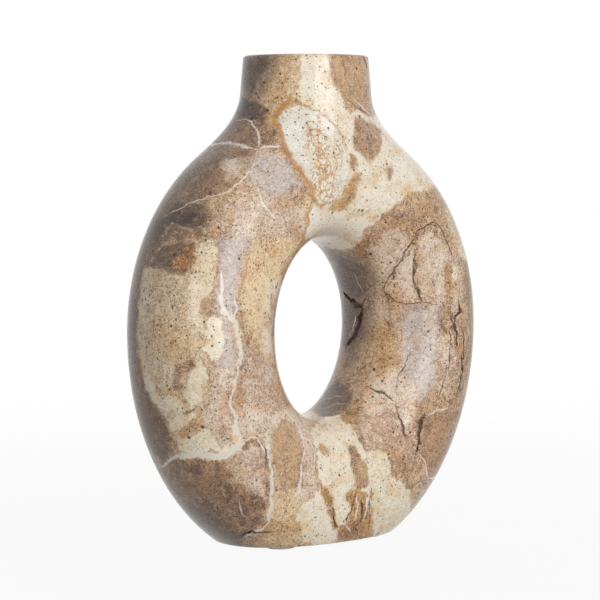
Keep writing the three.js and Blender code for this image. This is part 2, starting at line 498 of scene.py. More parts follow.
    foot_streak = Clast(
        Mark.OCHRE, ((326, 500), (330, 502), (333, 514), (338, 527), (334, 528), (328, 514)), -0.3
    )
    foot_mass = Clast(
        Mark.OCHRE,
        ((345, 494), (354, 488), (371, 492), (372, 536), (360, 541), (342, 538), (336, 530), (345, 524),
         (350, 510)),
        -0.1,
    )
    foot_spot = Clast(Mark.OCHRE, ((232, 526), (238, 524), (242, 529), (237, 532), (232, 530)), -0.8)
    patch_honey = Clast(
        Mark.HONEY,
        ((302, 118), (318, 116), (328, 138), (332, 160), (338, 180), (332, 200), (318, 206), (309, 186),
         (312, 164), (306, 142)),
        0.3,
    )
    patch_honey_right = Clast(Mark.HONEY, ((332, 130), (340, 138), (342, 158), (338, 176), (332, 160)), 0.3)
    rim_honey = Clast(
        Mark.HONEY,
        ((262, 112), (274, 98), (290, 92), (312, 101), (300, 106), (286, 111), (277, 124), (268, 124)),
        0.2,
    )
    arch_ochre = Clast(Mark.OCHRE, ((445, 262), (449, 268), (450, 284), (447, 294), (445, 284)), 0.3)
    cream_spot = Clast(Mark.OCHRE, ((318, 442), (324, 445), (330, 452), (322, 453), (317, 449)), 0.7)
    dark_glow = Clast(
        Mark.OCHRE,
        ((180, 256), (187, 246), (195, 244), (193, 256), (190, 266), (182, 272), (172, 270), (174, 262)),
        -0.4,
    )

    patch_rim = Seam(
        Mark.RUST, 2.4,
        ((311, 109), (300, 103), (291, 99), (283, 108), (276, 118), (277, 124), (281, 133), (284, 146),
         (289, 155), (296, 166), (303, 177), (310, 185), (312, 195), (314, 203), (319, 207), (326, 203)),
    )
    patch_right = Seam(
        Mark.RUST, 0.9, ((311, 109), (323, 114), (335, 126), (342, 136), (346, 147)), strength=0.6
    )
    cream_edge = Seam(Mark.RUST, 0.9, ((313, 450), (315, 466), (318, 480), (323, 492), (325, 504)))
    limb_edge = Seam(Mark.RUST, 0.6, ((312, 208), (308, 214), (307, 226), (301, 242)))
    strip_edge = Seam(Mark.RUST, 0.9, ((249, 254), (246, 268), (242, 284), (238, 300)), strength=0.7)

    shoulder_vein = Seam(Mark.VEIN, 1.5, ((196, 150), (208, 145), (225, 143), (240, 146), (257, 150)))
    collar_vein = Seam(
        Mark.VEIN, 0.55, ((238, 121), (248, 120), (255, 128), (260, 138), (258, 149)), strength=0.8
    )
    rust_link = Seam(Mark.VEIN, 0.7, ((257, 150), (268, 146), (280, 147)))
    long_vein = Seam(
        Mark.VEIN, 0.5,
        ((257, 150), (255, 162), (250, 171), (240, 182), (228, 192), (205, 199), (185, 206), (165, 217)),
        strength=0.8,
    )
    lilac_vein = Seam(Mark.VEIN, 0.45, ((258, 187), (260, 199), (267, 210), (277, 221)))
    left_vein = Seam(
        Mark.VEIN, 1.6,
        ((221, 272), (222, 287), (221, 300), (224, 312), (232, 320), (237, 329), (239, 343), (240, 355),
         (238, 368), (235, 381), (232, 397), (231, 406), (235, 415), (236, 426), (239, 436), (237, 447),
         (229, 453), (220, 455), (208, 454), (197, 455), (184, 455), (171, 458), (163, 467)),
    )
    left_vein_branch = Seam(Mark.VEIN, 0.9, ((234, 298), (236, 310), (233, 321)))
    hook_vein = Seam(
        Mark.VEIN, 0.7, ((239, 448), (245, 442), (250, 437), (256, 438), (260, 444), (265, 452))
    )
    upright_vein = Seam(
        Mark.VEIN, 0.85,
        ((266, 430), (268, 443), (268, 455), (270, 469), (272, 485), (271, 498), (270, 510), (268, 521),
         (263, 528), (251, 533), (244, 537)),
    )
    oval_vein = Seam(
        Mark.VEIN, 0.6,
        ((284, 410), (294, 421), (300, 433), (304, 447), (302, 462), (300, 478), (298, 491), (288, 505)),
    )
    oval_vein_branch = Seam(Mark.VEIN, 0.6, ((300, 435), (310, 442), (314, 452), (313, 462), (315, 472)))
    foot_vein = Seam(Mark.VEIN, 0.4, ((239, 498), (240, 509), (246, 517)), strength=0.7)
    chip_vein = Seam(
        Mark.VEIN, 0.9,
        ((349, 426), (356, 437), (363, 452), (369, 464), (371, 472), (370, 482), (368, 491), (369, 501),
         (370, 512)),
    )
    right_low_vein = Seam(Mark.VEIN, 0.7, ((420, 455), (425, 463), (427, 474), (429, 479), (437, 476)))
    right_top_vein = Seam(Mark.VEIN, 0.5, ((426, 417), (436, 411), (447, 408)))
    inner_streak = Seam(Mark.VEIN, 0.4, ((354, 272), (358, 280), (362, 289)))
    crack_light = Seam(Mark.VEIN, 0.5, ((356, 316), (354, 326), (349, 338)))
    shoulder_net = Seam(Mark.VEIN, 0.6, ((351, 149), (358, 158), (364, 166), (370, 170)))
    neck_crack_light = Seam(Mark.VEIN, 0.4, ((352, 98), (360, 106), (370, 114)))

    arch = Seam(
        Mark.CRACK, 0.55,
        ((454, 260), (448, 246), (443, 234), (439, 227), (434, 223), (426, 226), (418, 230), (413, 237),
         (408, 246), (400, 262), (392, 273), (386, 283), (385, 291), (391, 297), (399, 302), (409, 304),
         (421, 302), (436, 304)),
    )
    arch_middle = Seam(Mark.CRACK, 1.1, ((415, 252), (414, 267), (414, 280), (417, 291), (422, 300)))
    inner_fork = Seam(
        Mark.CRACK, 2.9, ((345, 294), (352, 300), (361, 308), (360, 322), (356, 333), (348, 345))
    )
    inner_fork_branch = Seam(Mark.CRACK, 1.2, ((361, 308), (364, 303), (366, 298)))
    right_fissure = Seam(
        Mark.CRACK, 1.4, ((458, 299), (458, 311), (454, 319), (453, 327), (456, 334), (455, 350))
    )
    right_edge = Seam(Mark.CRACK, 1.0, ((460, 354), (461, 365), (462, 374)))
    right_short = Seam(Mark.CRACK, 0.5, ((446, 366), (445, 374)))
    low_crack = Seam(Mark.CRACK, 1.8, ((424, 415), (421, 423), (419, 434), (418, 444), (416, 452)))
    slant_crack = Seam(Mark.CRACK, 0.9, ((366, 386), (376, 391), (386, 395), (394, 402)))
    faint_crack = Seam(Mark.CRACK, 0.6, ((396, 406), (400, 418), (404, 431), (407, 441)))
    tan_crack = Seam(Mark.CRACK, 0.5, ((403, 453), (402, 465)))
    neck_crack = Seam(Mark.CRACK, 0.4, ((345, 99), (352, 103), (358, 108), (368, 116)))
    upright_shade = Seam(Mark.CRACK, 0.5, ((264, 444), (265, 455), (266, 468)))
    foot_shade = Seam(Mark.CRACK, 0.8, ((276, 531), (266, 532), (252, 532), (240, 535)))
    rim_shade = Seam(Mark.CRACK, 0.9, ((361, 56), (365, 62), (366, 70)))
    arch_double = Seam(
        Mark.CRACK, 0.7, ((420, 236), (414, 244), (406, 258), (398, 270), (391, 281)), strength=0.7
    )
    patch_crack = Seam(Mark.CRACK, 0.7, ((184, 414), (190, 412), (195, 408)), strength=0.8)
    right_strand = Seam(
        Mark.CRACK, 0.55,
        ((449, 308), (451, 326), (449, 346), (448, 366), (441, 388), (436, 402)),
        strength=0.8,
    )
    outer_strand = Seam(Mark.CRACK, 0.9, ((462, 330), (463, 350), (461, 372), (456, 394)))
    inner_line = Seam(Mark.CRACK, 0.4, ((342, 264), (352, 270), (364, 272), (374, 280)), strength=0.7)
    limb_line = Seam(Mark.CRACK, 0.35, ((410, 354), (404, 366), (398, 378), (396, 392)), strength=0.7)
    foot_dark = Seam(Mark.CRACK, 0.7, ((331, 506), (333, 517), (337, 527)), strength=0.9)
    foot_dark_mid = Seam(Mark.CRACK, 0.7, ((352, 501), (350, 512), (346, 522)), strength=0.9)
    foot_dark_right = Seam(Mark.CRACK, 0.7, ((361, 498), (362, 510), (360, 522)), strength=0.9)
    foot_dark_edge = Seam(Mark.CRACK, 0.5, ((369, 500), (370, 514), (368, 526)), strength=0.8)
    foot_dark_low = Seam(Mark.CRACK, 0.6, ((352, 526), (357, 533), (353, 540)), strength=0.8)
    foot_light = Seam(Mark.VEIN, 0.8, ((356, 497), (357, 508), (354, 520)))
    foot_light_right = Seam(Mark.VEIN, 0.6, ((365, 496), (366, 508), (364, 518)))
    foot_light_low = Seam(Mark.VEIN, 0.6, ((346, 524), (350, 532)))
    scratch = Seam(Mark.VEIN, 0.3, ((318, 402), (330, 398), (344, 396)), strength=0.7)
    scratch_low = Seam(Mark.VEIN, 0.3, ((322, 410), (334, 405), (347, 404)), strength=0.7)


class BackMarks:
    """What the stone shows on the far side, drawn as seen from straight across the vase.

    Clasts and veins go right through the block, so most of those in front come out here too, mirrored and a
    little changed. The ones named here stay in front: they are shallow, or lie along the hole.
    """

    shallow = (
        "hole_strip", "hole_edge_painted_light", "strip_low", "hole_foot", "strip_edge", "limb_edge", "under_cream_painted_light",
        "limb_foot", "inner_wall", "inner_wall_low", "inner_low", "inner_fork", "inner_fork_branch",
        "inner_streak", "inner_line", "crack_light", "scratch", "scratch_low", "white_patch", "patch_rim",
        "patch_honey", "patch_honey_right", "rim_honey", "patch_right", "leaf_clast", "crown_lilac_sheen",
        "shoulder_gold", "right_edge", "outer_strand", "rim_shade", "left_edge_shade", "lower_edge_shade", "neck_shadow",
        "left_dark", "dark_glow", "smudge", "grey_band", "neck_cream", "bottom_cream", "shoulder_chip",
    )

    crown_cream = Clast(
        Mark.CREAM,
        ((266, 132), (290, 114), (322, 118), (350, 130), (392, 152), (420, 180), (404, 204), (372, 212),
         (352, 232), (330, 236), (306, 228), (296, 206), (280, 176)),
        0.3, Side.BACK,
    )
    foot_cream = Clast(
        Mark.CREAM,
        ((248, 452), (268, 438), (292, 444), (306, 462), (308, 490), (318, 512), (310, 546), (268, 552),
         (250, 530), (256, 500), (246, 476)),
        0.6, Side.BACK,
    )
    hole_gold = Clast(
        Mark.GOLD,
        ((252, 262), (268, 244), (290, 236), (282, 280), (277, 310), (270, 330), (250, 318)),
        0.6, Side.BACK,
    )
    limb_bloom = Clast(
        Mark.BLOOM,
        ((244, 340), (260, 356), (276, 362), (284, 390), (298, 412), (270, 420), (246, 404), (238, 376)),
        0.1, Side.BACK,
    )
    # the hole's inner wall on this side, darkened partly as painted shade inside the hole
    inner_dark = Clast(
        Mark.STAIN_AND_SHADE, ((326, 268), (352, 262), (366, 290), (360, 330), (344, 348), (326, 320)), 0.5, Side.BACK
    )
    crown_white = Clast(
        Mark.WHITE,
        ((302, 126), (324, 124), (334, 140), (356, 148), (350, 172), (330, 178), (322, 200), (308, 192),
         (304, 164), (292, 150)),
        0.3, Side.BACK,
    )
    crown_rim = Seam(
        Mark.RUST, 1.8,
        ((322, 124), (302, 125), (291, 150), (303, 165), (307, 192), (321, 201)),
        Side.BACK, 0.9,
    )
    inner_crack = Seam(Mark.CRACK, 1.0, ((346, 352), (352, 374), (342, 394)), Side.BACK)
    hole_vein = Seam(
        Mark.VEIN, 0.5, ((252, 226), (266, 244), (262, 270), (250, 296), (246, 326)), Side.BACK
    )


def linear(colour: str) -> tuple[float, float, float, float]:
    """Turns an sRGB hex colour into linear light.

    Args:
        colour: Six hex digits after a hash sign.

    Returns:
        Red, green, blue and full opacity.
    """
    shares = [int(colour[i:i + 2], 16) / 255 for i in (1, 3, 5)]
    light = [s / 12.92 if s <= 0.04045 else ((s + 0.055) / 1.055) ** 2.4 for s in shares]
    return (light[0], light[1], light[2], 1.0)


def add_node(
    tree: Tree,
    kind: str,
    settings: dict[str, object] | None = None,
    values: dict[int | str, object] | None = None,
    links: dict[int | str, Socket] | None = None,
    out: int | str = 0,
) -> Socket:
    """Adds one node to a tree.

    Args:
        tree: The tree that gets the node.
        kind: The node's type name, without its shader prefix.
        settings: Properties of the node itself.
        values: Fixed values of its inputs, by name or place.
        links: Outputs of other nodes that feed its inputs, by name or place.
        out: Which of its outputs is wanted, by name or place.

    Returns:
        That output. The others are found through its node.
    """
    node = tree.nodes.new("ShaderNode" + kind)
    for name, value in (settings or {}).items():
        setattr(node, name, value)
    for key, value in (values or {}).items():
        node.inputs[key].default_value = value
    for key, source in (links or {}).items():
        tree.links.new(source, node.inputs[key])
    return node.outputs[out]


def new_material(name: str) -> tuple[bpy.types.Material, Tree, bpy.types.Node]:
    """Starts a material.

    Args:
        name: Its name.

    Returns:
        The material, its tree and its shader.
    """
    material = bpy.data.materials.new(name)
    material.use_nodes = True
    tree = material.node_tree
    return material, tree, tree.nodes["Principled BSDF"]


def mesh_object(name: str, points: np.ndarray, faces: list[list[int]]) -> bpy.types.Object:
    """Makes a smooth-shaded mesh object in the scene.

    Args:
        name: The piece's name.
        points: Its points in millimetres.
        faces: Point numbers of each face.

    Returns:
        The object, at the origin.
    """
    mesh = bpy.data.meshes.new(name)
    mesh.from_pydata((points * MM).tolist(), [], faces)
    mesh.polygons.foreach_set("use_smooth", [True] * len(mesh.polygons))
    mesh.update()
    piece = bpy.data.objects.new(name, mesh)
    bpy.context.scene.collection.objects.link(piece)
    return piece


def turned(profile: list[tuple[float, float]], sides: int) -> tuple[np.ndarray, list[list[int]]]:
    """Turns a profile round the vertical axis.

    Args:
        profile: Radius and height pairs in millimetres; the first and last lie on the axis.
        sides: Number of steps round the axis.

    Returns:
        Points and faces of the closed turned skin.
    """
    angles = np.arange(sides) * 2 * math.pi / sides
    east, north = np.cos(angles), np.sin(angles)
    rings = [np.stack((r * east, r * north, np.full(sides, z)), 1) for r, z in profile[1:-1]]
    points = np.concatenate([[[0.0, 0.0, profile[0][1]]], *rings, [[0.0, 0.0, profile[-1][1]]]])
    last = len(points) - 1
    faces = [[0, 1 + (i + 1) % sides, 1 + i] for i in range(sides)]
    for row, i in product(range(len(rings) - 1), range(sides)):
        low, high = 1 + row * sides, 1 + (row + 1) * sides
        faces.append([low + i, low + (i + 1) % sides, high + (i + 1) % sides, high + i])
    top = 1 + (len(rings) - 1) * sides
    faces += [[top + i, top + (i + 1) % sides, last] for i in range(sides)]
    return points, faces


def arc(
    centre: tuple[float, float], radius: float, start: float, end: float, steps: int
) -> list[tuple[float, float]]:
    """Points of a round in a profile.

    Args:
        centre: Radius and height of the round's centre.
        radius: The round's own radius.
        start: First direction in degrees.
        end: Last direction in degrees.
        steps: Number of steps between them.

    Returns:
        Radius and height pairs.
    """
    turns = np.radians(np.linspace(start, end, steps + 1))
    return [(centre[0] + radius * math.cos(t), centre[1] + radius * math.sin(t)) for t in turns]


@dataclass(frozen=True)
class Viewpoint:
    """Where the picture was taken from, found by fitting the vase's outline: millimetres, degrees, pixels."""

    turn: float = 39.65  # to the left of straight in front
    rise: float = 3.6
    distance: float = 1580.25
    aim: float = 167.0  # height of the point that it looks at
    focal: float = 2294.94
    right: float = 5.68  # how far that point stands from the picture's middle
    up: float = 3.13

    def axes(self, side: Side) -> tuple[np.ndarray, np.ndarray, np.ndarray]:
        """Right, up and back directions of the viewer on one side.

        Args:
            side: The side that is looked at.

        Returns:
            Three unit vectors.
        """
        turn, rise = math.radians(self.turn + side.value), math.radians(self.rise)
        right = np.array((math.cos(turn), -math.sin(turn), 0.0))
        back = np.array((-math.sin(turn) * math.cos(rise), -math.cos(turn) * math.cos(rise), math.sin(rise)))
        return right, np.cross(back, right), back

    def place(self, side: Side) -> np.ndarray:
        """Where the viewer stands."""
        return np.array((0.0, 0.0, self.aim)) + self.axes(side)[2] * self.distance

    def rays(self, pixels: np.ndarray, side: Side) -> np.ndarray:
        """Directions from the viewer through picture pixels.

        Args:
            pixels: Points of the picture.
            side: The side that is looked at.

        Returns:
            One direction a pixel, a millimetre deep.
        """
        right, up, back = self.axes(side)
        across = (pixels[:, :1] - PICTURE / 2 - self.right) / self.focal
        above = (PICTURE / 2 - self.up - pixels[:, 1:]) / self.focal
        return across * right + above * up - back

    def camera(self) -> bpy.types.Object:
        """Sets up the camera at the picture's place.

        Returns:
            The camera.
        """
        data = bpy.data.cameras.new("camera")
        data.sensor_width = 36.0
        data.lens = self.focal * data.sensor_width / PICTURE
        data.shift_x = -self.right / PICTURE
        data.shift_y = -self.up / PICTURE
        data.clip_end = 20.0
        camera = bpy.data.objects.new("camera", data)
        right, up, back = self.axes(Side.FRONT)
        turn = Matrix(np.stack((right, up, back), 1).tolist()).to_4x4()
        camera.matrix_world = Matrix.Translation(Vector(self.place(Side.FRONT) * MM)) @ turn
        bpy.context.scene.collection.objects.link(camera)
        bpy.context.scene.camera = camera
        return camera


def smooth_most(a: np.ndarray, b: np.ndarray, width: float) -> np.ndarray:
    """The larger of two distances, rounded where they meet.

    Args:
        a: First distance.
        b: Second distance.
        width: Width of the rounding.

    Returns:
        The joined distance.
    """
    return np.maximum(a, b) + np.maximum(width - np.abs(a - b), 0.0) ** 2 / (4 * width)


@dataclass(frozen=True)
class StoneShape:
    """Sizes of the carved stone in millimetres, and the surface that they give."""

    foot: float = 2.0  # height of the flat foot over the table
    height: float = 330.0
    width: float = 274.0
    depth: float = 98.5
    rise: float = 146.0  # from the ring's centre to its top
    fall: float = 165.5  # from there to its lowest point, before the foot is cut
    trim: float = 21.5  # cut off for the foot
    outline_power: float = 2.03  # 2 is an ellipse, and more is squarer
    section_power: float = 2.2
    hole_width: float = 96.0
    hole_height: float = 121.0
    hole_shift: float = 4.0  # sideways
    neck_diameter: float = 85.5
    neck_taper: float = 4.8  # degrees
    neck_blend: float = 32.0  # width of the hollow curve down to the shoulders
    face_blend: float = 4.0  # width of the one down to the ring's faces
    rim_rounding: float = 2.4
    foot_rounding: float = 1.6
    bore_radius: float = 23.4
    bore_bottom: float = 235.5
    seat_radius: float = 26.4
    seat_height: float = 327.4
    bore_rounding: float = 0.8
    probe: float = 0.05  # to each side, where a slope is measured
    longest_move: float = 8.0  # in one correction of a point
    ray_step: float = 1.5  # along a ray that looks for the stone
    round_the_side: float = 2.0  # further back for each millimetre past the edge

    @property
    def centre(self) -> float:
        """Height of the ring's centre."""
        return self.foot + self.fall - self.trim

    @property
    def rim(self) -> float:
        """Height of the rim."""
        return self.foot + self.height

    def radii(self, cosine: np.ndarray, sine: np.ndarray) -> tuple[np.ndarray, np.ndarray]:
        """The ring's section in directions from its centre.

        Args:
            cosine: Sideways part of each direction.
            sine: Upward part of each direction.

        Returns:
            Distance to the middle of the section, and half its thickness.
        """
        p = self.outline_power
        reach = np.where(sine > 0, self.rise, self.fall)
        outer = (np.abs(cosine * 2 / self.width) ** p + np.abs(sine / reach) ** p) ** (-1 / p)
        hole = 1 / np.hypot(cosine * 2 / self.hole_width, sine * 2 / self.hole_height)
        hole = hole + self.hole_shift * cosine
        return (outer + hole) / 2, (outer - hole) / 2

    def distance(self, points: np.ndarray) -> np.ndarray:
        """How far points lie outside the stone, near enough; negative inside.

        Args:
            points: Places in millimetres.

        Returns:
            One distance a point.
        """
        x, y, z = points[..., 0], points[..., 1], points[..., 2]
        up = z - self.centre
        out = np.hypot(x, up) + TINY
        middle, half = self.radii(x / out, up / out)
        p, deep = self.section_power, self.depth / 2
        section = (np.abs((out - middle) / half) ** p + np.abs(y / deep) ** p) ** (1 / p)
        ring = (section - 1) * np.minimum(half, deep)
        taper, around = math.radians(self.neck_taper), np.hypot(x, y)
        neck = (around - self.neck_diameter / 2 - (self.rim - z) * math.tan(taper)) * math.cos(taper)
        neck = np.maximum(neck, self.centre + (self.rise + self.hole_height / 2) / 2 - z)
        sideways = x * x / np.maximum(around * around, TINY)
        blend = self.neck_blend * sideways + self.face_blend * (1 - sideways)
        share = np.maximum(blend - np.abs(ring - neck), 0.0) / blend
        stone = np.minimum(ring, neck) - share * share * blend / 4
        stone = smooth_most(stone, self.foot - z, self.foot_rounding)
        stone = smooth_most(stone, z - self.rim, self.rim_rounding)
        bore = np.maximum(around - self.bore_radius, self.bore_bottom - z)
        seat = np.maximum(around - self.seat_radius, self.seat_height - z)
        return smooth_most(stone, -np.minimum(bore, seat), self.bore_rounding)

    def slope(self, points: np.ndarray) -> np.ndarray:
        """How the distance grows along each axis.

        Args:
            points: Places in millimetres.

        Returns:
            One vector a point.
        """
        steps = np.eye(3) * self.probe
        rises = [self.distance(points + step) - self.distance(points - step) for step in steps]
        return np.stack(rises, -1) / (2 * self.probe)

    def settle(self, points: np.ndarray, rounds: int) -> np.ndarray:
        """Moves points on to the stone's surface.

        Args:
            points: Places near the surface.
            rounds: Number of corrections.

        Returns:
            The moved points.
        """
        least_steep = 0.05
        for _ in range(rounds):
            slope = self.slope(points)
            steep = np.maximum((slope * slope).sum(-1, keepdims=True), least_steep)
            gap = np.clip(self.distance(points)[..., None], -self.longest_move, self.longest_move)
            points = points - slope * gap / steep
        return points

    def chart(self, points: np.ndarray) -> np.ndarray:
        """Unrolls the stone: the angle round the ring and the angle round its section.

        Args:
            points: Places on the stone.

        Returns:
            Two angles a point, in radians.
        """
        up = points[:, 2] - self.centre
        out = np.hypot(points[:, 0], up) + TINY
        middle, half = self.radii(points[:, 0] / out, up / out)
        around = np.arctan2(up, points[:, 0])
        section = np.arctan2(-points[:, 1] * 2 / self.depth, (out - middle) / half)
        return np.stack((around, section), 1)

    def cast(self, pixels: np.ndarray, viewpoint: Viewpoint, side: Side) -> np.ndarray:
        """Carries picture points on to the stone. Points past its edge go on round its side.

        Args:
            pixels: Points of the picture.
            viewpoint: Where the picture was taken from.
            side: The side that is looked at.

        Returns:
            Places on the stone's surface.
        """
        start, rays = viewpoint.place(side), viewpoint.rays(pixels, side)
        reach = self.width * 0.7  # past the stone's half width from any side
        depths = np.arange(viewpoint.distance - reach, viewpoint.distance + reach, self.ray_step)
        gaps = self.distance(start + rays[:, None, :] * depths[None, :, None])
        inside = gaps < 0
        nearest = np.where(inside.any(1), inside.argmax(1), gaps.argmin(1))
        gap = np.maximum(gaps[np.arange(len(pixels)), nearest], 0.0)
        depth = depths[nearest] + self.round_the_side * gap
        return self.settle(start + rays * depth[:, None], rounds=6)


def skin_of(shape: StoneShape, cell: float) -> tuple[np.ndarray, np.ndarray]:
    """Wraps the stone's surface in quads, one point in each cell of a grid that the surface passes through.

    Args:
        shape: The stone.
        cell: Size of a grid cell in millimetres.

    Returns:
        Points on the surface, and the four point numbers of each quad.
    """
    proud = 4.0  # millimetres, more than the neck stands out past the ring's faces
    margin = 2.5 * cell
    low = np.array((-shape.width / 2, -shape.depth / 2 - proud, shape.foot)) - margin
    high = np.array((shape.width / 2, shape.depth / 2 + proud, shape.rim)) + margin
    axes = [np.arange(a, b, cell) for a, b in zip(low, high)]
    gaps = shape.distance(np.stack(np.meshgrid(*axes, indexing="ij"), -1))
    inside = gaps < 0
    corners = np.array(list(product((0, 1), repeat=3)))
    sizes = np.array(gaps.shape) - 1
    filled = sum(
        inside[a:a + sizes[0], b:b + sizes[1], c:c + sizes[2]].astype(np.int8) for a, b, c in corners
    )
    cells = np.argwhere((filled > 0) & (filled < len(corners)))
    numbers = np.full(sizes, -1)
    numbers[tuple(cells.T)] = np.arange(len(cells))
    total, hits = np.zeros((len(cells), 3)), np.zeros(len(cells))
    for a, b in product(corners, repeat=2):
        if (b - a).sum() != 1 or np.abs(b - a).sum() != 1:
            continue
        first, second = gaps[tuple((cells + a).T)], gaps[tuple((cells + b).T)]
        crossed = (first < 0) != (second < 0)
        share = first[crossed] / (first[crossed] - second[crossed])
        total[crossed] += a + share[:, None] * (b - a)
        hits[crossed] += 1
    points = low + (cells + total / hits[:, None]) * cell
    quads = []
    for axis in range(3):
        step, one, two = np.eye(3, dtype=int)[[axis, (axis + 1) % 3, (axis + 2) % 3]]
        edges = np.argwhere(np.diff(inside, axis=axis))
        edges = edges[(edges[:, (axis + 1) % 3] > 0) & (edges[:, (axis + 2) % 3] > 0)]
        quad = np.stack([numbers[tuple((edges - shift).T)] for shift in (one + two, two, 0 * step, one)], 1)
        leaving = inside[tuple(edges.T)]
        quads.append(np.where(leaving[:, None], quad, quad[:, ::-1]))
    return shape.settle(points, rounds=3), np.concatenate(quads)


def close_in(drawn: Pixels, step: float, closed: bool) -> np.ndarray:
    """Fills in points along a drawn line.

    Args:
        drawn: Its corner points.
        step: Largest distance between two points.
        closed: Whether the line ends where it starts.

    Returns:
        Points along the line.
    """
    corners = np.array(drawn + drawn[:1] if closed else drawn, float)
    parts = []
    for a, b in zip(corners, corners[1:]):
        count = max(int(math.ceil(np.linalg.norm(b - a) / step)), 1)
        parts.append(a + (b - a) * (np.arange(count) / count)[:, None])
    return np.concatenate([*parts, corners[-1:]])


def rounded(drawn: Pixels, step: float) -> np.ndarray:
    """Runs a smooth curve through the points of a route.

    Args:
        drawn: Points of the route.
        step: About how far apart the curve's points are.

    Returns:
        Points along the curve.
    """
    ends = np.array((drawn[0], *drawn, drawn[-1]), float)
    parts = []
    for a, b, c, d in zip(ends, ends[1:], ends[2:], ends[3:]):
        count = max(int(math.ceil(np.linalg.norm(c - b) / step)), 1)
        t = (np.arange(count) / count)[:, None]
        bend = (2 * a - 5 * b + 4 * c - d) * t * t + (3 * b - a - 3 * c + d) * t ** 3
        parts.append(b + ((c - a) * t + bend) / 2)
    return np.concatenate([*parts, ends[-1:]])


def wobbled(line: np.ndarray, reach: float, chance: np.random.Generator) -> np.ndarray:
    """Lets a drawn line wander as a broken edge does.

    Args:
        line: Points along it.
        reach: How far it wanders, in pixels.
        chance: Source of chance.

    Returns:
        The moved points; both ends stay.
    """
    moves = chance.normal(0.0, reach, line.shape)
    moves[[0, -1]] = 0.0
    return line + moves


@dataclass
class LineReach:
    """How points of the stone lie to a line on it."""

    gap: np.ndarray  # millimetres to the line
    side: np.ndarray  # 1 on the line's left, -1 on its right
    along: np.ndarray  # share of the line's length, from 0 to 1

    @classmethod
    def of(cls, points: np.ndarray, normals: np.ndarray, line: np.ndarray) -> LineReach:
        """Measures points against a line.

        Args:
            points: Places on the stone.
            normals: Outward directions there.
            line: Points of the line.

        Returns:
            Gap, side and share of the line for each point.
        """
        best = np.full(len(points), np.inf)
        side, along = np.ones(len(points)), np.zeros(len(points))
        lengths = np.linalg.norm(np.diff(line, axis=0), axis=1)
        starts = np.concatenate(([0.0], np.cumsum(lengths)))
        for i, (a, b) in enumerate(zip(line, line[1:])):
            if lengths[i] < TINY:
                continue
            way = (b - a) / lengths[i]
            share = np.clip((points - a) @ way, 0.0, lengths[i])
            off = points - a - share[:, None] * way
            gap = np.linalg.norm(off, axis=1)
            nearer = gap < best
            turn = np.sign((np.cross(way, off) * normals).sum(1))
            best = np.where(nearer, gap, best)
            side = np.where(nearer, np.where(turn == 0, 1.0, turn), side)
            along = np.where(nearer, (starts[i] + share) / starts[-1], along)
        return cls(best, side, along)


def within(angles: np.ndarray, outline: np.ndarray) -> np.ndarray:
    """Tells which points of the unrolled stone lie inside an outline.

    Args:
        angles: Points of the unrolled stone.
        outline: Corners of the outline there; the last repeats the first.

    Returns:
        True for each point inside.
    """
    middle = np.angle(np.exp(1j * outline).mean(0))
    spots = np.angle(np.exp(1j * (angles - middle)))
    edge = np.angle(np.exp(1j * (outline - middle)))
    inside = np.zeros(len(angles), bool)
    for (ax, ay), (bx, by) in zip(edge, edge[1:]):
        spans = (ay > spots[:, 1]) != (by > spots[:, 1])
        if by != ay:
            inside ^= spans & (spots[:, 0] < ax + (spots[:, 1] - ay) * (bx - ax) / (by - ay))
    return inside


@dataclass(frozen=True)
class Ramp:
    """A change from start to end while a pattern or a distance goes from low to high."""

    low: float
    high: float
    start: float = 0.0
    end: float = 1.0

    @property
    def values(self) -> dict[str, float]:
        """Inputs of the node that makes the change."""
        return {"From Min": self.low, "From Max": self.high, "To Min": self.start, "To Max": self.end}


@dataclass(frozen=True)
class ClastLook:
    """How one kind of clast shows: its colours, edge and specks. Sizes in millimetres."""

    mark: Mark
    deep: str
    pale: str
    blotch: str  # colour of the stains inside it
    rim: str  # colour of the line round it
    rim_share: float
    soften: float  # half the width over which its edge fades
    ragged: float  # how far its edge wanders from the drawn outline
    dither: float  # how far the grain carries its edge
    specks: float  # share of the pores that show on it
    lines: float = 1.0  # share of the hairlines and flakes that show on it
    netted: bool = False  # whether it only runs between small lumps


@dataclass(frozen=True)
class SeamLook:
    """How one kind of line shows. Widths are shares of its half width."""

    mark: Mark
    deep: str
    pale: str
    core: float  # full colour inside this
    fade: float  # no colour outside this
    strength: float
    pattern: str = "mottle"  # what breaks it
    broken: Ramp = Ramp(0.35, 0.55, 0.5)  # how much is left of it there


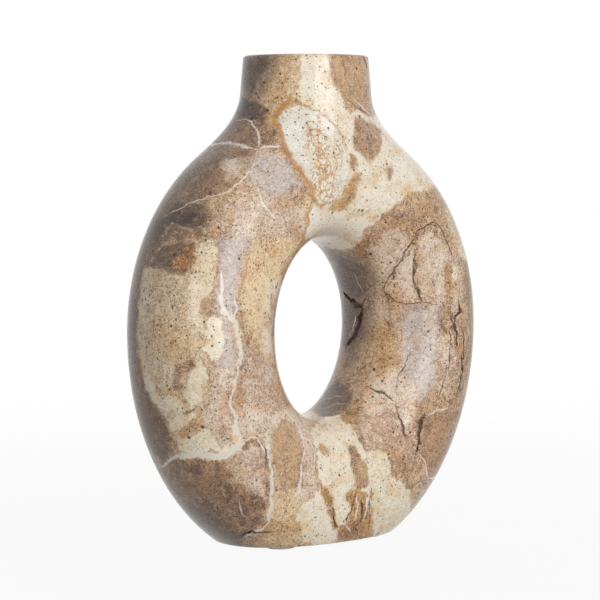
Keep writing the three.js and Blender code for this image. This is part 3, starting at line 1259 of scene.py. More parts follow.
@dataclass(frozen=True)
class PolishedMarble:
    """Brecciated marble, carved, sanded and polished.

    Broken clasts of brown, tan and cream stone in a paler cement, with fine pores, rust along the joints, and
    calcite veins. The polish is even: it shows soft lights as bright bands, and opens only at cracks and
    pores.
    """

    deep: str = "#7f5c42"
    pale: str = "#e5c29b"
    blotch: str = "#c48c54"
    pore: str = "#2e231c"
    specks: float = 0.3  # share of the pores that show on the cement
    ior: float = 1.5
    gloss: Ramp = Ramp(0.3, 0.7, 0.15, 0.28)  # roughness by the mottle
    sizes: tuple[tuple[str, float, float], ...] = (  # width of each pattern in millimetres, and its detail
        ("cloud", 46.0, 4.0), ("blotch", 13.0, 7.0), ("mottle", 6.5, 6.0),
        ("edge", 7.0, 9.0), ("grain", 2.6, 4.0), ("dust", 0.9, 2.0),
    )
    fineness: float = 0.62  # how much each finer step of a pattern counts
    toned: float = 0.4  # how far a clast's tone moves its shade
    variety: tuple[tuple[str, float], ...] = (("cloud", 1.6), ("mottle", 2.3), ("grain", 1.9), ("dust", 3.0))
    stained: Ramp = Ramp(0.5, 0.68, 0.0, 0.65)
    edge_fade: Ramp = Ramp(0.35, 0.65, 0.4, 2.2)  # crisp and soft stretches of a clast's edge
    rim_line: tuple[float, float] = (0.2, 1.5)  # millimetres off a clast's edge with full and no rim colour
    rim_gaps: Ramp = Ramp(0.38, 0.6)
    bend: tuple[float, float] = (6.0, 5.0)  # width and reach of the waves in hairlines and flakes
    hairlines: tuple[tuple[float, float, str, float], ...] = (  # cell width, half width, colour and strength
        (17.0, 0.22, "#e9dfd0", 0.4), (13.0, 0.22, "#4a3a30", 0.5),
    )
    hair_edge: tuple[float, float] = (0.4, 1.8)  # half widths off a hairline with full and no colour
    hair_patches: Ramp = Ramp(0.45, 0.62)
    flakes: tuple[tuple[float, float, float], ...] = (  # turns of their grain in degrees
        (35.0, 20.0, 0.0), (-50.0, -30.0, 40.0),
    )
    flake_size: tuple[float, float] = (1.1, 4.5)  # width and length
    flake_colours: tuple[tuple[str, Ramp], ...] = (
        ("#4a3a2f", Ramp(0.36, 0.28, 0.0, 0.65)), ("#f0e5d4", Ramp(0.64, 0.72, 0.0, 0.65)),
    )
    film_size: float = 9.0
    film: str = "#5c4c42"
    film_line: Ramp = Ramp(0.0, 0.02, 0.35, 0.0)  # a line where its pattern is half way
    lump: float = 5.0  # width of the lumps that a stain runs between
    lump_bend: float = 1.6  # how far their joints wander, in widths
    joint: Ramp = Ramp(0.02, 0.16, 0.9, 0.05)  # stain by the distance from a joint, in widths
    pores: tuple[tuple[float, float], ...] = ((1.7, 0.5), (3.4, 0.75), (9.0, 1.2))  # spacing and radius
    pore_spread: Ramp = Ramp(0.0, 1.0, 0.8, 2.4)  # larger to smaller ones
    pore_edge: tuple[float, float] = (0.5, 1.4)  # radii from its middle with full and no colour
    pore_share: float = 0.9
    clusters: Ramp = Ramp(0.4, 0.6, 0.15, 1.6)  # sparse and crowded places
    line_waves: tuple[float, float] = (1.8, 0.9)  # half widths that a line wanders, widely and with the grain
    line_swell: Ramp = Ramp(0.38, 0.62, 0.6, 1.7)  # thick and thin stretches of a line
    line_close: Ramp = Ramp(0.15, 0.85)
    crack_rough: float = 0.35  # roughness that a crack adds
    pore_depth: float = 0.7  # beside a crack's
    relief: tuple[float, float] = (0.6, 0.3)  # strength, and depth of a crack in millimetres
    shine: Ramp = Ramp(0.0, 0.8, 0.5, 0.0)  # specular level by how open the surface is
    clasts: tuple[ClastLook, ...] = (
        ClastLook(Mark.EARTH, "#684a37", "#c9a17b", "#9a6a3e", "#54443a", 0.0, 1.2, 2.0, 1.5, 0.2, 0.45),
        # lilac patches that also carry painted sheen
        ClastLook(Mark.LILAC_SHEEN, "#b49e92", "#dacec7", "#cca888", "#c9ab8c", 0.0, 4.5, 5.0, 4.0, 0.2),
        ClastLook(Mark.TAN, "#b48d64", "#f4e2c5", "#d69c54", "#8c6a4a", 0.4, 1.0, 1.8, 1.2, 0.8, 0.6),
        ClastLook(Mark.GOLD, "#bd9364", "#f5dbb2", "#d0944a", "#8c6a4a", 0.0, 5.0, 5.0, 4.5, 0.65),
        ClastLook(Mark.BLOOM, "#b58e70", "#f0ddc8", "#d69c60", "#b58d6d", 0.0, 4.0, 4.0, 4.0, 0.4),
        # dark soft patches, also used as painted shade
        ClastLook(Mark.STAIN_AND_SHADE, "#3d2f28", "#806250", "#654736", "#54443a", 0.0, 7.0, 5.0, 7.0, 0.4, 0.4),
        ClastLook(Mark.CREAM, "#dfc79f", "#faf1e0", "#e4b368", "#b9854d", 0.5, 1.1, 2.4, 1.5, 0.45, 0.35),
        ClastLook(Mark.WHITE, "#e0d6c2", "#f6f3eb", "#e0b868", "#c88b46", 0.4, 0.8, 1.4, 1.0, 0.7, 0.25),
        ClastLook(Mark.BROWN, "#7b5940", "#d4ae86", "#a87446", "#dccbb2", 0.45, 0.8, 1.3, 1.0, 0.15),
        ClastLook(Mark.DARK, "#43332a", "#846750", "#6f4e38", "#8a6440", 0.4, 1.4, 2.0, 1.5, 0.3, 0.5),
        ClastLook(Mark.OCHRE, "#8a5526", "#e0b274", "#744420", "#a87440", 0.3, 1.4, 2.6, 2.5, 0.5),
        ClastLook(Mark.HONEY, "#a8692a", "#e6b877", "#8e5522", "#a87440", 0.0, 2.5, 5.0, 7.0, 0.9, 0.5, True),
    )
    seams: tuple[SeamLook, ...] = (  # cracks come last: they open the polish
        SeamLook(Mark.RUST, "#8a5522", "#e0a352", 0.3, 1.6, 0.95, "grain", Ramp(0.36, 0.56, 0.35)),
        SeamLook(Mark.VEIN, "#ded3c3", "#f8f4ec", 0.6, 1.4, 0.95, "grain", Ramp(0.34, 0.5, 0.45)),
        SeamLook(Mark.CRACK, "#2c221c", "#57463b", 0.4, 1.4, 0.95),
    )

    def material(self) -> bpy.types.Material:
        """Makes the finish from the distances that lie on the mesh.

        Returns:
            The material.
        """
        material, tree, shader = new_material("polished_brecciated_marble")
        place = add_node(tree, "TexCoord", out="Object")
        noise = {}
        for name, size, detail in self.sizes:
            scale = {"Scale": 1 / (size * MM), "Detail": detail, "Roughness": self.fineness}
            noise[name] = add_node(tree, "TexNoise", values=scale, links={"Vector": place})
        noise["net"] = self._net(tree, place)
        shade = add_node(tree, "Attribute", {"attribute_name": "tone"}, out="Fac")
        shade = add_node(tree, "Math", MULTIPLY_ADD, {1: self.toned, 2: HALF_WAY}, {0: shade})
        for name, share in self.variety:
            swing = add_node(tree, "Math", MULTIPLY_ADD, {1: share, 2: -share / 2}, {0: noise[name]})
            shade = add_node(tree, "Math", ADD, links={0: shade, 1: swing})
        blotched = add_node(tree, "MapRange", SMOOTH, self.stained.values, {"Value": noise["blotch"]})
        colour = self._body(tree, self.deep, self.pale, self.blotch, shade, blotched)
        specks, lines = self.specks, 1.0
        for look in self.clasts:
            depth, mask = self._patch(tree, look, noise)
            own = self._body(tree, look.deep, look.pale, look.blotch, shade, blotched)
            colour = add_node(tree, "Mix", COLOURS, links={0: mask, 6: colour, 7: own}, out=2)
            if look.rim_share:
                rim = self._rim(tree, look, depth, noise["mottle"])
                colour = add_node(tree, "Mix", COLOURS, {7: linear(look.rim)}, {0: rim, 6: colour}, 2)
            specks = self._cover(tree, mask, specks, look.specks)
            lines = self._cover(tree, mask, lines, look.lines)
        colour = self._hairlines(tree, place, noise, lines, colour)
        clustered = add_node(tree, "MapRange", values=self.clusters.values, links={"Value": noise["blotch"]})
        specks = add_node(tree, "Math", MULTIPLY, links={0: specks, 1: clustered})
        pores = self._pores(tree, place, specks)
        colour = add_node(tree, "Mix", COLOURS, {7: linear(self.pore)}, {0: pores, 6: colour}, 2)
        for look in self.seams:
            crack = self._line(tree, look, noise)
            ends = {6: linear(look.deep), 7: linear(look.pale)}
            own = add_node(tree, "Mix", COLOURS, ends, {0: noise["mottle"]}, 2)
            colour = add_node(tree, "Mix", COLOURS, links={0: crack, 6: colour, 7: own}, out=2)
        gloss = add_node(tree, "MapRange", values=self.gloss.values, links={"Value": noise["mottle"]})
        kept = {**MULTIPLY_ADD, "use_clamp": True}
        rough = add_node(tree, "Math", kept, {1: self.crack_rough}, {0: crack, 2: gloss})
        opened = add_node(tree, "Math", MULTIPLY_ADD, {1: self.pore_depth}, {0: pores, 2: crack})
        strength, depth = self.relief
        depths = {"Strength": strength, "Distance": depth * MM}
        relief = add_node(tree, "Bump", {"invert": True}, depths, {"Height": opened})
        shine = add_node(tree, "MapRange", values=self.shine.values, links={"Value": opened})
        tree.links.new(colour, shader.inputs["Base Color"])
        tree.links.new(rough, shader.inputs["Roughness"])
        tree.links.new(shine, shader.inputs["Specular IOR Level"])
        tree.links.new(relief, shader.inputs["Normal"])
        shader.inputs["IOR"].default_value = self.ior
        return material

    def _body(
        self, tree: Tree, deep: str, pale: str, blotch: str, shade: Socket, blotched: Socket
    ) -> Socket:
        """Colour of one kind of stone by itself.

        Args:
            tree: The finish's tree.
            deep: Its deep colour.
            pale: Its pale colour.
            blotch: Colour of its stains.
            shade: How pale it is from place to place.
            blotched: Where its stains are.

        Returns:
            The colour.
        """
        own = add_node(tree, "Mix", COLOURS, {6: linear(deep), 7: linear(pale)}, {0: shade}, 2)
        return add_node(tree, "Mix", COLOURS, {7: linear(blotch)}, {0: blotched, 6: own}, 2)

    def _cover(self, tree: Tree, mask: Socket, under: float | Socket, own: float) -> Socket:
        """Lays a clast's own share of something over the share under it.

        Args:
            tree: The finish's tree.
            mask: Where the clast shows.
            under: The share under it, as one number or from place to place.
            own: The clast's own share.

        Returns:
            The share from place to place.
        """
        values, links = {3: own}, {0: mask}
        (values if isinstance(under, float) else links)[2] = under
        return add_node(tree, "Mix", NUMBERS, values, links)

    def _patch(self, tree: Tree, look: ClastLook, noise: dict[str, Socket]) -> tuple[Socket, Socket]:
        """Where one kind of clast shows.

        Args:
            tree: The finish's tree.
            look: The kind of clast.
            noise: Patterns of the stone.

        Returns:
            Depth inside its ragged edge in millimetres, and its share from 0 outside to 1 inside.
        """
        depth = add_node(tree, "Attribute", {"attribute_name": look.mark.value}, out="Fac")
        wide = {1: 4 * look.ragged, 2: -2 * look.ragged - look.dither}
        wave = add_node(tree, "Math", MULTIPLY_ADD, wide, {0: noise["edge"]})
        wave = add_node(tree, "Math", MULTIPLY_ADD, {1: 2 * look.dither}, {0: noise["grain"], 2: wave})
        depth = add_node(tree, "Math", ADD, links={0: depth, 1: wave})
        fade = add_node(tree, "MapRange", values=self.edge_fade.values, links={"Value": noise["blotch"]})
        faded = add_node(tree, "Math", {"operation": "DIVIDE"}, links={0: depth, 1: fade})
        edge = Ramp(-look.soften, look.soften)
        mask = add_node(tree, "MapRange", SMOOTH, edge.values, {"Value": faded})
        if look.netted:
            mask = add_node(tree, "Math", MULTIPLY, links={0: mask, 1: noise["net"]})
        return depth, mask

    def _bent(self, tree: Tree, place: Socket, width: float, reach: float, detail: float) -> Socket:
        """Places on the stone, pushed to and fro so that what is drawn there wanders.

        Args:
            tree: The finish's tree.
            place: Places on the stone.
            width: Width of the waves in millimetres.
            reach: How far they push, in millimetres.
            detail: How fine they go.

        Returns:
            The pushed places.
        """
        scale = {"Scale": 1 / (width * MM), "Detail": detail}
        push = add_node(tree, "TexNoise", values=scale, links={"Vector": place}, out="Color")
        push = add_node(tree, "VectorMath", {"operation": "SCALE"}, {"Scale": reach * MM}, {0: push})
        return add_node(tree, "VectorMath", ADD, links={0: place, 1: push})

    def _net(self, tree: Tree, place: Socket) -> Socket:
        """The joints between small lumps.

        Args:
            tree: The finish's tree.
            place: Places on the stone.

        Returns:
            A little in the lumps, nearly 1 on the joints.
        """
        bent = self._bent(tree, place, self.lump, self.lump_bend * self.lump, detail=6.0)
        cells, scale = {"feature": "DISTANCE_TO_EDGE"}, {"Scale": 1 / (self.lump * MM)}
        gap = add_node(tree, "TexVoronoi", cells, scale, {"Vector": bent})
        return add_node(tree, "MapRange", SMOOTH, self.joint.values, {"Value": gap})

    def _rim(self, tree: Tree, look: ClastLook, depth: Socket, broken: Socket) -> Socket:
        """The broken line round a clast.

        Args:
            tree: The finish's tree.
            look: The kind of clast.
            depth: Depth inside its edge.
            broken: Pattern that breaks the line.

        Returns:
            0 off the line to its share on it.
        """
        off = add_node(tree, "Math", ABSOLUTE, links={0: depth})
        edge = Ramp(*self.rim_line, look.rim_share, 0.0)
        line = add_node(tree, "MapRange", SMOOTH, edge.values, {"Value": off})
        share = add_node(tree, "MapRange", SMOOTH, self.rim_gaps.values, {"Value": broken})
        return add_node(tree, "Math", MULTIPLY, links={0: line, 1: share})

    def _hairlines(
        self, tree: Tree, place: Socket, noise: dict[str, Socket], lines: Socket, colour: Socket
    ) -> Socket:
        """Healed hair cracks between crystals, flakes drawn out along the grain, and scribbled grey films.

        Args:
            tree: The finish's tree.
            place: Places on the stone.
            noise: Patterns of the stone.
            lines: Share of the lines that shows.
            colour: Colour of the stone without them.

        Returns:
            Colour of the stone with them.
        """
        bent = self._bent(tree, place, *self.bend, detail=5.0)
        patchy = add_node(tree, "MapRange", SMOOTH, self.hair_patches.values, {"Value": noise["blotch"]})
        patchy = add_node(tree, "Math", MULTIPLY, links={0: patchy, 1: lines})
        for cell, half, own, strength in self.hairlines:
            cells, scale = {"feature": "DISTANCE_TO_EDGE"}, {"Scale": 1 / (cell * MM)}
            gap = add_node(tree, "TexVoronoi", cells, scale, {"Vector": bent})
            full, none = (share * half / cell for share in self.hair_edge)
            edge = Ramp(full, none, strength, 0.0)
            line = add_node(tree, "MapRange", SMOOTH, edge.values, {"Value": gap})
            line = add_node(tree, "Math", MULTIPLY, links={0: line, 1: patchy})
            colour = add_node(tree, "Mix", COLOURS, {7: linear(own)}, {0: line, 6: colour}, 2)
        width, length = self.flake_size
        for turn in self.flakes:
            grain = {
                "Rotation": [math.radians(angle) for angle in turn],
                "Scale": (1 / (width * MM), 1 / (length * MM), 1 / (width * MM)),
            }
            drawn_out = add_node(tree, "Mapping", values=grain, links={"Vector": bent})
            scale = {"Scale": 1.0, "Detail": 2.0}
            flake = add_node(tree, "TexNoise", values=scale, links={"Vector": drawn_out})
            for own, shown in self.flake_colours:
                share = add_node(tree, "MapRange", SMOOTH, shown.values, {"Value": flake})
                share = add_node(tree, "Math", MULTIPLY, links={0: share, 1: lines})
                colour = add_node(tree, "Mix", COLOURS, {7: linear(own)}, {0: share, 6: colour}, 2)
        scale = {"Scale": 1 / (self.film_size * MM), "Detail": 3.0, "Distortion": 1.2}
        film = add_node(tree, "TexNoise", values=scale, links={"Vector": place})
        film = add_node(tree, "Math", {"operation": "SUBTRACT"}, {1: HALF_WAY}, {0: film})
        film = add_node(tree, "Math", ABSOLUTE, links={0: film})
        film = add_node(tree, "MapRange", SMOOTH, self.film_line.values, {"Value": film})
        for share in (lines, noise["cloud"]):
            film = add_node(tree, "Math", MULTIPLY, links={0: film, 1: share})
        return add_node(tree, "Mix", COLOURS, {7: linear(self.film)}, {0: film, 6: colour}, 2)

    def _pores(self, tree: Tree, place: Socket, share: Socket) -> Socket:
        """Dark pores of several sizes.

        Args:
            tree: The finish's tree.
            place: Places on the stone.
            share: Share of the pores that show.

        Returns:
            0 between pores to nearly 1 in them.
        """
        pores = None
        for spacing, radius in self.pores:
            scale = {"Scale": 1 / (spacing * MM)}
            cells = add_node(tree, "TexVoronoi", values=scale, links={"Vector": place}, out="Color")
            chance = add_node(tree, "SeparateColor", links={0: cells})
            other = chance.node.outputs["Green"]
            spread = add_node(tree, "MapRange", values=self.pore_spread.values, links={"Value": other})
            apart = cells.node.outputs["Distance"]
            gap = add_node(tree, "Math", MULTIPLY, links={0: apart, 1: spread})
            size = radius / spacing
            full, none = (part * size for part in self.pore_edge)
            edge = Ramp(full, none, self.pore_share, 0.0)
            dot = add_node(tree, "MapRange", SMOOTH, edge.values, {"Value": gap})
            chosen = add_node(tree, "Math", {"operation": "LESS_THAN"}, links={0: chance, 1: share})
            dot = add_node(tree, "Math", MULTIPLY, links={0: chosen, 1: dot})
            if pores:
                dot = add_node(tree, "Math", {"operation": "MAXIMUM"}, links={0: dot, 1: pores})
            pores = dot
        return pores

    def _line(self, tree: Tree, look: SeamLook, noise: dict[str, Socket]) -> Socket:
        """Where one kind of line shows.

        Args:
            tree: The finish's tree.
            look: The kind of line.
            noise: Patterns of the stone.

        Returns:
            0 beside the line to its strength on it.
        """
        side = add_node(tree, "Attribute", {"attribute_name": look.mark.value}, out="Fac")
        near = add_node(tree, "Attribute", {"attribute_name": look.mark.value + "_near"}, out="Fac")
        wide, fine = self.line_waves
        wave = add_node(tree, "Math", MULTIPLY_ADD, {1: 2 * wide, 2: -wide}, {0: noise["edge"]})
        wave = add_node(tree, "Math", MULTIPLY_ADD, {1: 2 * fine}, {0: noise["grain"], 2: wave})
        wave = add_node(tree, "Math", {"operation": "SUBTRACT"}, {1: fine}, {0: wave})
        waved = add_node(tree, "Math", ADD, links={0: side, 1: wave})
        off = add_node(tree, "Math", ABSOLUTE, links={0: waved})
        swell = add_node(tree, "MapRange", values=self.line_swell.values, links={"Value": noise["blotch"]})
        off = add_node(tree, "Math", MULTIPLY, links={0: off, 1: swell})
        edge = Ramp(look.core, look.fade, look.strength, 0.0)
        line = add_node(tree, "MapRange", SMOOTH, edge.values, {"Value": off})
        broken = add_node(tree, "MapRange", values=look.broken.values, links={"Value": noise[look.pattern]})
        close = add_node(tree, "MapRange", SMOOTH, self.line_close.values, {"Value": near})
        for share in (broken, close):
            line = add_node(tree, "Math", MULTIPLY, links={0: line, 1: share})
        return line


@dataclass
class StoneBody:
    """The carved block: ring, foot and neck in one, with its marks."""

    shape: StoneShape = field(default_factory=StoneShape)
    viewpoint: Viewpoint = field(default_factory=Viewpoint)
    finish: PolishedMarble = field(default_factory=PolishedMarble)
    cell: float = 1.9  # size of the skin's quads
    drawn_step: float = 4.0  # pixels between points of a drawn line
    wobble: float = 0.55  # pixels that a drawn line wanders
    drift: float = 7.0  # pixels that a mark moves on its way through the block
    rim_row: float = 60.0  # picture row just under the rim, above which no mark comes out behind
    stretch: tuple[float, float] = (0.85, 1.1)  # how much smaller or larger it comes out
    clast_reach: float = 12.0  # millimetres to which distances are kept
    clast_search: float = 30.0  # millimetres round an outline in which points are looked at
    seam_reach: float = 6.0
    seam_far: float = 99.0  # half widths, away from every line
    seam_tip: float = 0.35  # share of its width that a line has at its ends
    seam_taper: float = 5.0  # how fast it widens from there, by shares of its length
    seam_swell: tuple[float, float] = (0.6, 1.35)  # thin and thick stretches
    tone_fade: float = 5.0  # millimetres over which one clast's tone takes over from another's
    seed: int = 5

    def build(self) -> bpy.types.Object:
        """Carves the stone and lays its marks on it.

        Returns:
            The stone.
        """
        points, quads = skin_of(self.shape, self.cell)
        slope = self.shape.slope(points)
        normals = slope / np.linalg.norm(slope, axis=1, keepdims=True)
        piece = mesh_object("marble_stone", points, quads.tolist())
        piece.data.normals_split_custom_set_from_vertices(normals.tolist())
        for name, values in self._marks(points, normals).items():
            layer = piece.data.attributes.new(name, "FLOAT", "POINT")
            layer.data.foreach_set("value", values.astype(np.float32))
        piece.data.materials.append(self.finish.material())
        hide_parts("stone_body")
        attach(piece, "stone")
        return piece

    def _marks(self, points: np.ndarray, normals: np.ndarray) -> dict[str, np.ndarray]:
        """Measures the skin against every mark.

        Args:
            points: Points of the skin.
            normals: Outward directions there.

        Returns:
            Layers of the mesh by name.
        """
        angles = self.shape.chart(points)
        chance = np.random.default_rng(self.seed)
        layers = {"tone": np.zeros(len(points))}
        for look in self.finish.clasts:
            layers[look.mark.value] = np.full(len(points), -self.clast_reach)
        for look in self.finish.seams:
            layers[look.mark.value] = np.full(len(points), self.seam_far)
            layers[look.mark.value + "_near"] = np.zeros(len(points))
        in_front = {name: mark for name, mark in vars(FrontMarks).items() if isinstance(mark, (Clast, Seam))}
        deep = [mark for name, mark in in_front.items() if name not in BackMarks.shallow]
        come_out = [self._through(mark, chance) for mark in deep]
        for mark in (*come_out, *vars(BackMarks).values(), *in_front.values()):
            if isinstance(mark, Clast):
                self._lay_clast(mark, points, normals, angles, layers, chance)
            elif isinstance(mark, Seam):
                self._lay_seam(mark, points, normals, layers, chance)
        return layers

    def _through(self, mark: Clast | Seam, chance: np.random.Generator) -> Clast | Seam:
        """Finds where a mark comes out on the far side.

        Args:
            mark: The mark in front.
            chance: Source of chance, for what happens to it on its way.

        Returns:
            The mirrored mark.
        """
        name = "outline" if isinstance(mark, Clast) else "route"
        drawn = np.array(getattr(mark, name), float)
        middle = drawn.mean(0)
        size, shift = chance.uniform(*self.stretch, 2), chance.normal(0.0, self.drift, 2)
        drawn = middle + (drawn - middle) * size + shift
        drawn[:, 0] = PICTURE + 2 * self.viewpoint.right - drawn[:, 0]
        drawn[:, 1] = np.maximum(drawn[:, 1], self.rim_row)
        return replace(mark, side=Side.BACK, **{name: tuple(map(tuple, drawn))})

    def _around(self, points: np.ndarray, line: np.ndarray, reach: float) -> np.ndarray:
        """Numbers of the skin's points in the box round a line, widened by a reach."""
        return np.flatnonzero(((points > line.min(0) - reach) & (points < line.max(0) + reach)).all(1))

    def _lay_clast(
        self,
        clast: Clast,
        points: np.ndarray,
        normals: np.ndarray,
        angles: np.ndarray,
        layers: dict[str, np.ndarray],
        chance: np.random.Generator,
    ) -> None:
        """Adds a clast to its layer, as the distance inside its outline.

        Args:
            clast: The clast.
            points: Points of the skin.
            normals: Outward directions there.
            angles: The skin's points on the unrolled stone.
            layers: Layers of the mesh, which are changed.
            chance: Source of chance.
        """
        drawn = wobbled(close_in(clast.outline, self.drawn_step, True), self.wobble, chance)
        line = self.shape.cast(drawn, self.viewpoint, clast.side)
        nearby = self._around(points, line, self.clast_search)
        gap = LineReach.of(points[nearby], normals[nearby], line).gap
        depth = np.where(within(angles[nearby], self.shape.chart(line)), gap, -gap)
        layer = layers[clast.mark.value]
        deeper = depth > layer[nearby]
        layer[nearby] = np.where(deeper, np.minimum(depth, self.clast_reach), layer[nearby])
        share = np.clip((depth + self.tone_fade / 2) / self.tone_fade, 0.0, 1.0)
        layers["tone"][nearby] += (clast.tone - layers["tone"][nearby]) * share

    def _lay_seam(
        self,
        seam: Seam,
        points: np.ndarray,
        normals: np.ndarray,
        layers: dict[str, np.ndarray],
        chance: np.random.Generator,
    ) -> None:
        """Adds a line to its layers: its side in half widths, and how near it is.

        Args:
            seam: The line.
            points: Points of the skin.
            normals: Outward directions there.
            layers: Layers of the mesh, which are changed.
            chance: Source of chance.
        """
        drawn = wobbled(rounded(seam.route, self.drawn_step), self.wobble, chance)
        line = self.shape.cast(drawn, self.viewpoint, seam.side)
        nearby = self._around(points, line, self.seam_reach)
        found = LineReach.of(points[nearby], normals[nearby], line)
        from_end = np.minimum(found.along, 1 - found.along)
        taper = np.clip(self.seam_tip + self.seam_taper * from_end, self.seam_tip, 1.0)
        swell = chance.uniform(*self.seam_swell, len(drawn))
        taper *= np.interp(found.along, np.linspace(0, 1, len(drawn)), swell)
        near = np.clip(1 - found.gap / self.seam_reach, 0.0, 1.0) * seam.strength
        side, closeness = layers[seam.mark.value], layers[seam.mark.value + "_near"]
        nearer = near > closeness[nearby]
        side[nearby] = np.where(nearer, found.side * found.gap / (seam.half_width * taper), side[nearby])
        closeness[nearby] = np.maximum(near, closeness[nearby])


@dataclass(frozen=True)
class SpunSteel:
    """Stainless steel, spun to a cup and left with its turning lines, which draw the light out into rings."""

    deep: str = "#8f908f"
    pale: str = "#c9cac8"
    gloss: Ramp = Ramp(0.3, 0.7, 0.24, 0.42)  # roughness by the turning lines
    line: float = 0.7  # millimetres between turning lines, coarser than the real ones so that they show
    stain: float = 18.0  # millimetres across a cloud in the tint
    relief: tuple[float, float] = (0.35, 0.05)  # strength, and depth in millimetres

    def material(self) -> bpy.types.Material:
        """Makes the finish.

        Returns:
            The material.
        """
        material, tree, shader = new_material("spun_stainless_steel")
        place = add_node(tree, "TexCoord", out="Object")
        x = add_node(tree, "SeparateXYZ", links={0: place})
        parts = x.node.outputs
        level = add_node(tree, "CombineXYZ", links={"X": x, "Y": parts["Y"]})
        radius = add_node(tree, "VectorMath", LENGTH, links={0: level}, out="Value")
        rings = add_node(tree, "CombineXYZ", links={"X": radius, "Y": parts["Z"]})
        size = {"Scale": 1 / (self.line * MM), "Detail": 3.0}
        lines = add_node(tree, "TexNoise", values=size, links={"Vector": rings})
        size = {"Scale": 1 / (self.stain * MM), "Detail": 4.0}
        stains = add_node(tree, "TexNoise", values=size, links={"Vector": place})
        ends = {6: linear(self.deep), 7: linear(self.pale)}
        colour = add_node(tree, "Mix", COLOURS, ends, {0: stains}, 2)
        rough = add_node(tree, "MapRange", values=self.gloss.values, links={"Value": lines})
        strength, depth = self.relief
        depths = {"Strength": strength, "Distance": depth * MM}
        relief = add_node(tree, "Bump", values=depths, links={"Height": lines})
        tree.links.new(colour, shader.inputs["Base Color"])
        tree.links.new(rough, shader.inputs["Roughness"])
        tree.links.new(relief, shader.inputs["Normal"])
        shader.inputs["Metallic"].default_value = 1.0
        return material


@dataclass
class LinerCup:
    """The loose water cup that hangs by its lip in the mouth. Sizes in millimetres."""

    bore: float = 44.0
    wall: float = 1.0
    floor: float = 1.5
    corner: float = 4.0
    lip_width: float = 3.0
    lip_thickness: float = 1.6
    lip_hollow: float = 0.5  # rounding under the lip
    lip_round: float = 0.8  # rounding at the mouth
    straight: float = 1.0  # wall kept straight beside a rounding, so that its shading stays even
    floor_ring: float = 0.4  # where the floor has a ring of points, as a share of its radius
    sides: int = 128
    finish: SpunSteel = field(default_factory=SpunSteel)

    def build(self) -> bpy.types.Object:
        """Spins the cup between the heights of its solid.

        Returns:
            The cup.
        """
        low, high = (corner.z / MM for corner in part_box("liner_cup"))
        inside, outside = self.bore / 2, self.bore / 2 + self.wall
        under, bend, edge = high - self.lip_thickness, self.corner + self.wall, self.lip_thickness / 2
        profile = [
            (0.0, low),
            (outside * self.floor_ring, low),
            *arc((outside - bend, low + bend), bend, -90, 0, steps=8),
            (outside, under - self.straight),
            *arc((outside + self.lip_hollow, under - self.lip_hollow), self.lip_hollow, 180, 90, steps=4),
            *arc((outside + self.lip_width - edge, high - edge), edge, -90, 90, steps=10),
            *arc((inside + self.lip_round, high - self.lip_round), self.lip_round, 90, 180, steps=6),
            (inside, low + self.floor + self.corner + self.straight),
            *arc((inside - self.corner, low + self.floor + self.corner), self.corner, 0, -90, steps=8),
            (inside * self.floor_ring, low + self.floor),
            (0.0, low + self.floor),
        ]
        piece = mesh_object("steel_liner", *turned(profile, self.sides))
        piece.data.materials.append(self.finish.material())
        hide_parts("liner_cup")
        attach(piece, "liner")
        return piece


@dataclass(frozen=True)
class PressedFelt:
    """Wool felt, pressed and cut: matted fibres with a soft bloom and no shine."""

    deep: str = "#cfc9bf"
    pale: str = "#f1eee8"
    fibre: float = 0.5  # millimetres between fibres, coarser than the real ones so that they show
    tint: Ramp = Ramp(0.35, 0.7)  # deep to pale by the fibres
    gloss: Ramp = Ramp(0.0, 1.0, 0.85, 1.0)  # roughness by the fibres
    relief: tuple[float, float] = (0.8, 0.25)  # strength, and depth in millimetres
    bloom: float = 0.3

    def material(self) -> bpy.types.Material:
        """Makes the finish.

        Returns:
            The material.
        """
        material, tree, shader = new_material("pressed_wool_felt")
        place = add_node(tree, "TexCoord", out="Object")
        matted = {"Scale": 1 / (self.fibre * MM), "Detail": 5.0, "Roughness": 0.7, "Distortion": 1.5}
        fibres = add_node(tree, "TexNoise", values=matted, links={"Vector": place})
        share = add_node(tree, "MapRange", values=self.tint.values, links={"Value": fibres})
        ends = {6: linear(self.deep), 7: linear(self.pale)}
        colour = add_node(tree, "Mix", COLOURS, ends, {0: share}, 2)
        strength, depth = self.relief
        depths = {"Strength": strength, "Distance": depth * MM}
        relief = add_node(tree, "Bump", values=depths, links={"Height": fibres})
        rough = add_node(tree, "MapRange", values=self.gloss.values, links={"Value": fibres})
        tree.links.new(colour, shader.inputs["Base Color"])
        tree.links.new(rough, shader.inputs["Roughness"])
        tree.links.new(relief, shader.inputs["Normal"])
        shader.inputs["Sheen Weight"].default_value = self.bloom
        return material


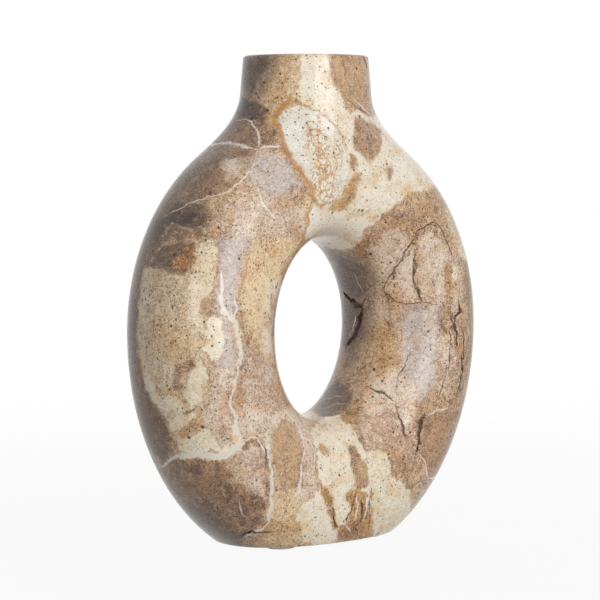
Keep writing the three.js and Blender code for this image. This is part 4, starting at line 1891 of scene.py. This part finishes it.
@dataclass
class FeltPads:
    """The four pads stuck under the foot. Sizes in millimetres."""

    nodes: tuple[str, ...] = (
        "felt_pad_front_left", "felt_pad_front_right", "felt_pad_back_left", "felt_pad_back_right",
    )
    edge: float = 0.7  # rounding of the cut edge
    fray: float = 0.18  # how far the edge wanders in and out
    face_ring: float = 0.5  # where each face has a ring of points, as a share of its radius
    sides: int = 72
    seed: int = 11
    finish: PressedFelt = field(default_factory=PressedFelt)

    def build(self) -> list[bpy.types.Object]:
        """Cuts each pad where its solid is.

        Returns:
            The four pads.
        """
        material = self.finish.material()
        chance = np.random.default_rng(self.seed)
        pads = []
        for node in self.nodes:
            low, high = (np.array(corner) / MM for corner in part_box(node))
            radius, thick = (high[0] - low[0]) / 2 - self.fray, high[2] - low[2]
            profile = [
                (0.0, 0.0),
                (radius * self.face_ring, 0.0),
                *arc((radius - self.edge, self.edge), self.edge, -90, 0, steps=4),
                *arc((radius - self.edge, thick - self.edge), self.edge, 0, 90, steps=4),
                (radius * self.face_ring, thick),
                (0.0, thick),
            ]
            points, faces = turned(profile, self.sides)
            points[:, :2] *= 1 + chance.uniform(-1, 1, (len(points), 1)) * self.fray / radius
            points += (*(low + high)[:2] / 2, low[2])
            piece = mesh_object(node.replace("felt_pad", "wool_pad"), points, faces)
            piece.data.materials.append(material)
            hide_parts(node)
            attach(piece, "stone")
            pads.append(piece)
        return pads


def seen_straight(tree: Tree) -> Socket:
    """Tells rays that show a thing, to the eye or in a reflection, from rays that carry its light.

    Args:
        tree: The tree that asks.

    Returns:
        1 for a ray that shows it, else 0.
    """
    seen = add_node(tree, "LightPath", out="Is Camera Ray")
    rays = seen.node.outputs
    for name in ("Is Glossy Ray", "Is Transmission Ray"):
        seen = add_node(tree, "Math", {"operation": "MAXIMUM"}, links={0: seen, 1: rays[name]})
    return seen


@dataclass(frozen=True)
class PaintedFloor:
    """A matt white studio floor, which looks white to the eye and still takes the vase's shadow."""

    colour: str = "#a3a2a0"
    rough: float = 0.9
    plain: Ramp = Ramp(0.15, 1.1, 0.93, 1.0)  # share of plain white seen, by metres from the vase

    def material(self) -> bpy.types.Material:
        """Makes the finish.

        Returns:
            The material.
        """
        material, tree, shader = new_material("matt_white_paint")
        shader.inputs["Base Color"].default_value = linear(self.colour)
        shader.inputs["Roughness"].default_value = self.rough
        place = add_node(tree, "TexCoord", out="Object")
        away = add_node(tree, "VectorMath", LENGTH, links={0: place}, out="Value")
        plain = add_node(tree, "MapRange", SMOOTH, self.plain.values, {"Value": away})
        share = add_node(tree, "Math", MULTIPLY, links={0: seen_straight(tree), 1: plain})
        white = add_node(tree, "Emission", values={"Color": linear(WHITE), "Strength": 1.0})
        mixed = add_node(tree, "MixShader", links={0: share, 1: shader.outputs[0], 2: white})
        tree.links.new(mixed, tree.nodes["Material Output"].inputs["Surface"])
        return material


@dataclass(frozen=True)
class SoftLight:
    """One studio softbox, aimed at the vase's middle. Metres, degrees and watts."""

    name: str
    turn: float  # to the right of the viewer
    rise: float
    distance: float
    width: float
    height: float
    power: float
    mirrored: bool = True  # whether polished surfaces show it as a bright band


@dataclass
class Studio:
    """Floor, white surroundings and soft light."""

    viewpoint: Viewpoint = field(default_factory=Viewpoint)
    floor_size: float = 16.0  # metres
    floor: PaintedFloor = field(default_factory=PaintedFloor)
    around: float = 0.2  # strength of the white surroundings as light
    lights: tuple[SoftLight, ...] = (
        SoftLight("key_softbox", 32.0, 3.0, 1.5, 0.9, 1.3, 15.0),
        SoftLight("key_fill", 32.0, 3.0, 1.5, 0.9, 1.3, 8.0, False),  # the same place, for a softer band
        SoftLight("front_softbox", -18.0, 10.0, 2.2, 0.8, 0.8, 5.5),
        SoftLight("top_softbox", 40.0, 60.0, 1.6, 1.0, 1.0, 3.0),
        SoftLight("back_softbox", 180.0, 24.0, 1.7, 1.3, 1.0, 19.0, False),
    )

    def build(self) -> None:
        """Lays the floor, sets the surroundings and hangs the lights."""
        half = self.floor_size / 2 / MM
        corners = np.array([(-half, -half, 0), (half, -half, 0), (half, half, 0), (-half, half, 0)], float)
        floor = mesh_object("studio_floor", corners, [[0, 1, 2, 3]])
        floor.data.materials.append(self.floor.material())
        self._surroundings()
        for light in self.lights:
            self._hang(light)
        bpy.context.scene.view_settings.view_transform = "Standard"

    def _surroundings(self) -> None:
        """White to the eye and in reflections, dimmer as light on the vase."""
        world = bpy.data.worlds.new("studio")
        bpy.context.scene.world = world
        world.use_nodes = True
        tree = world.node_tree
        strength = add_node(tree, "Mix", NUMBERS, {2: self.around, 3: 1.0}, {0: seen_straight(tree)})
        background = tree.nodes["Background"]
        background.inputs["Color"].default_value = linear(WHITE)
        tree.links.new(strength, background.inputs["Strength"])

    def _hang(self, light: SoftLight) -> None:
        """Hangs one softbox.

        Args:
            light: The softbox.
        """
        data = bpy.data.lights.new(light.name, "AREA")
        data.shape, data.size, data.size_y = "RECTANGLE", light.width, light.height
        data.energy = light.power
        lamp = bpy.data.objects.new(light.name, data)
        turn, rise = math.radians(self.viewpoint.turn - light.turn), math.radians(light.rise)
        back = Vector((-math.sin(turn) * math.cos(rise), -math.cos(turn) * math.cos(rise), math.sin(rise)))
        lamp.location = Vector((0.0, 0.0, self.viewpoint.aim * MM)) + back * light.distance
        lamp.rotation_mode = "QUATERNION"
        lamp.rotation_quaternion = back.to_track_quat("Z", "Y")
        lamp.visible_glossy = light.mirrored
        bpy.context.scene.collection.objects.link(lamp)


def main() -> None:
    """Builds the studio, the stone, the cup and the pads."""
    logging.basicConfig(level=logging.INFO, format="%(name)s: %(message)s")
    viewpoint = Viewpoint()
    viewpoint.camera()
    Studio(viewpoint).build()
    pieces = [StoneBody(viewpoint=viewpoint).build(), LinerCup().build(), *FeltPads().build()]
    for piece in pieces:
        log.info("%s: %d points, %d faces", piece.name, len(piece.data.vertices), len(piece.data.polygons))


if __name__ == "__main__":
    main()
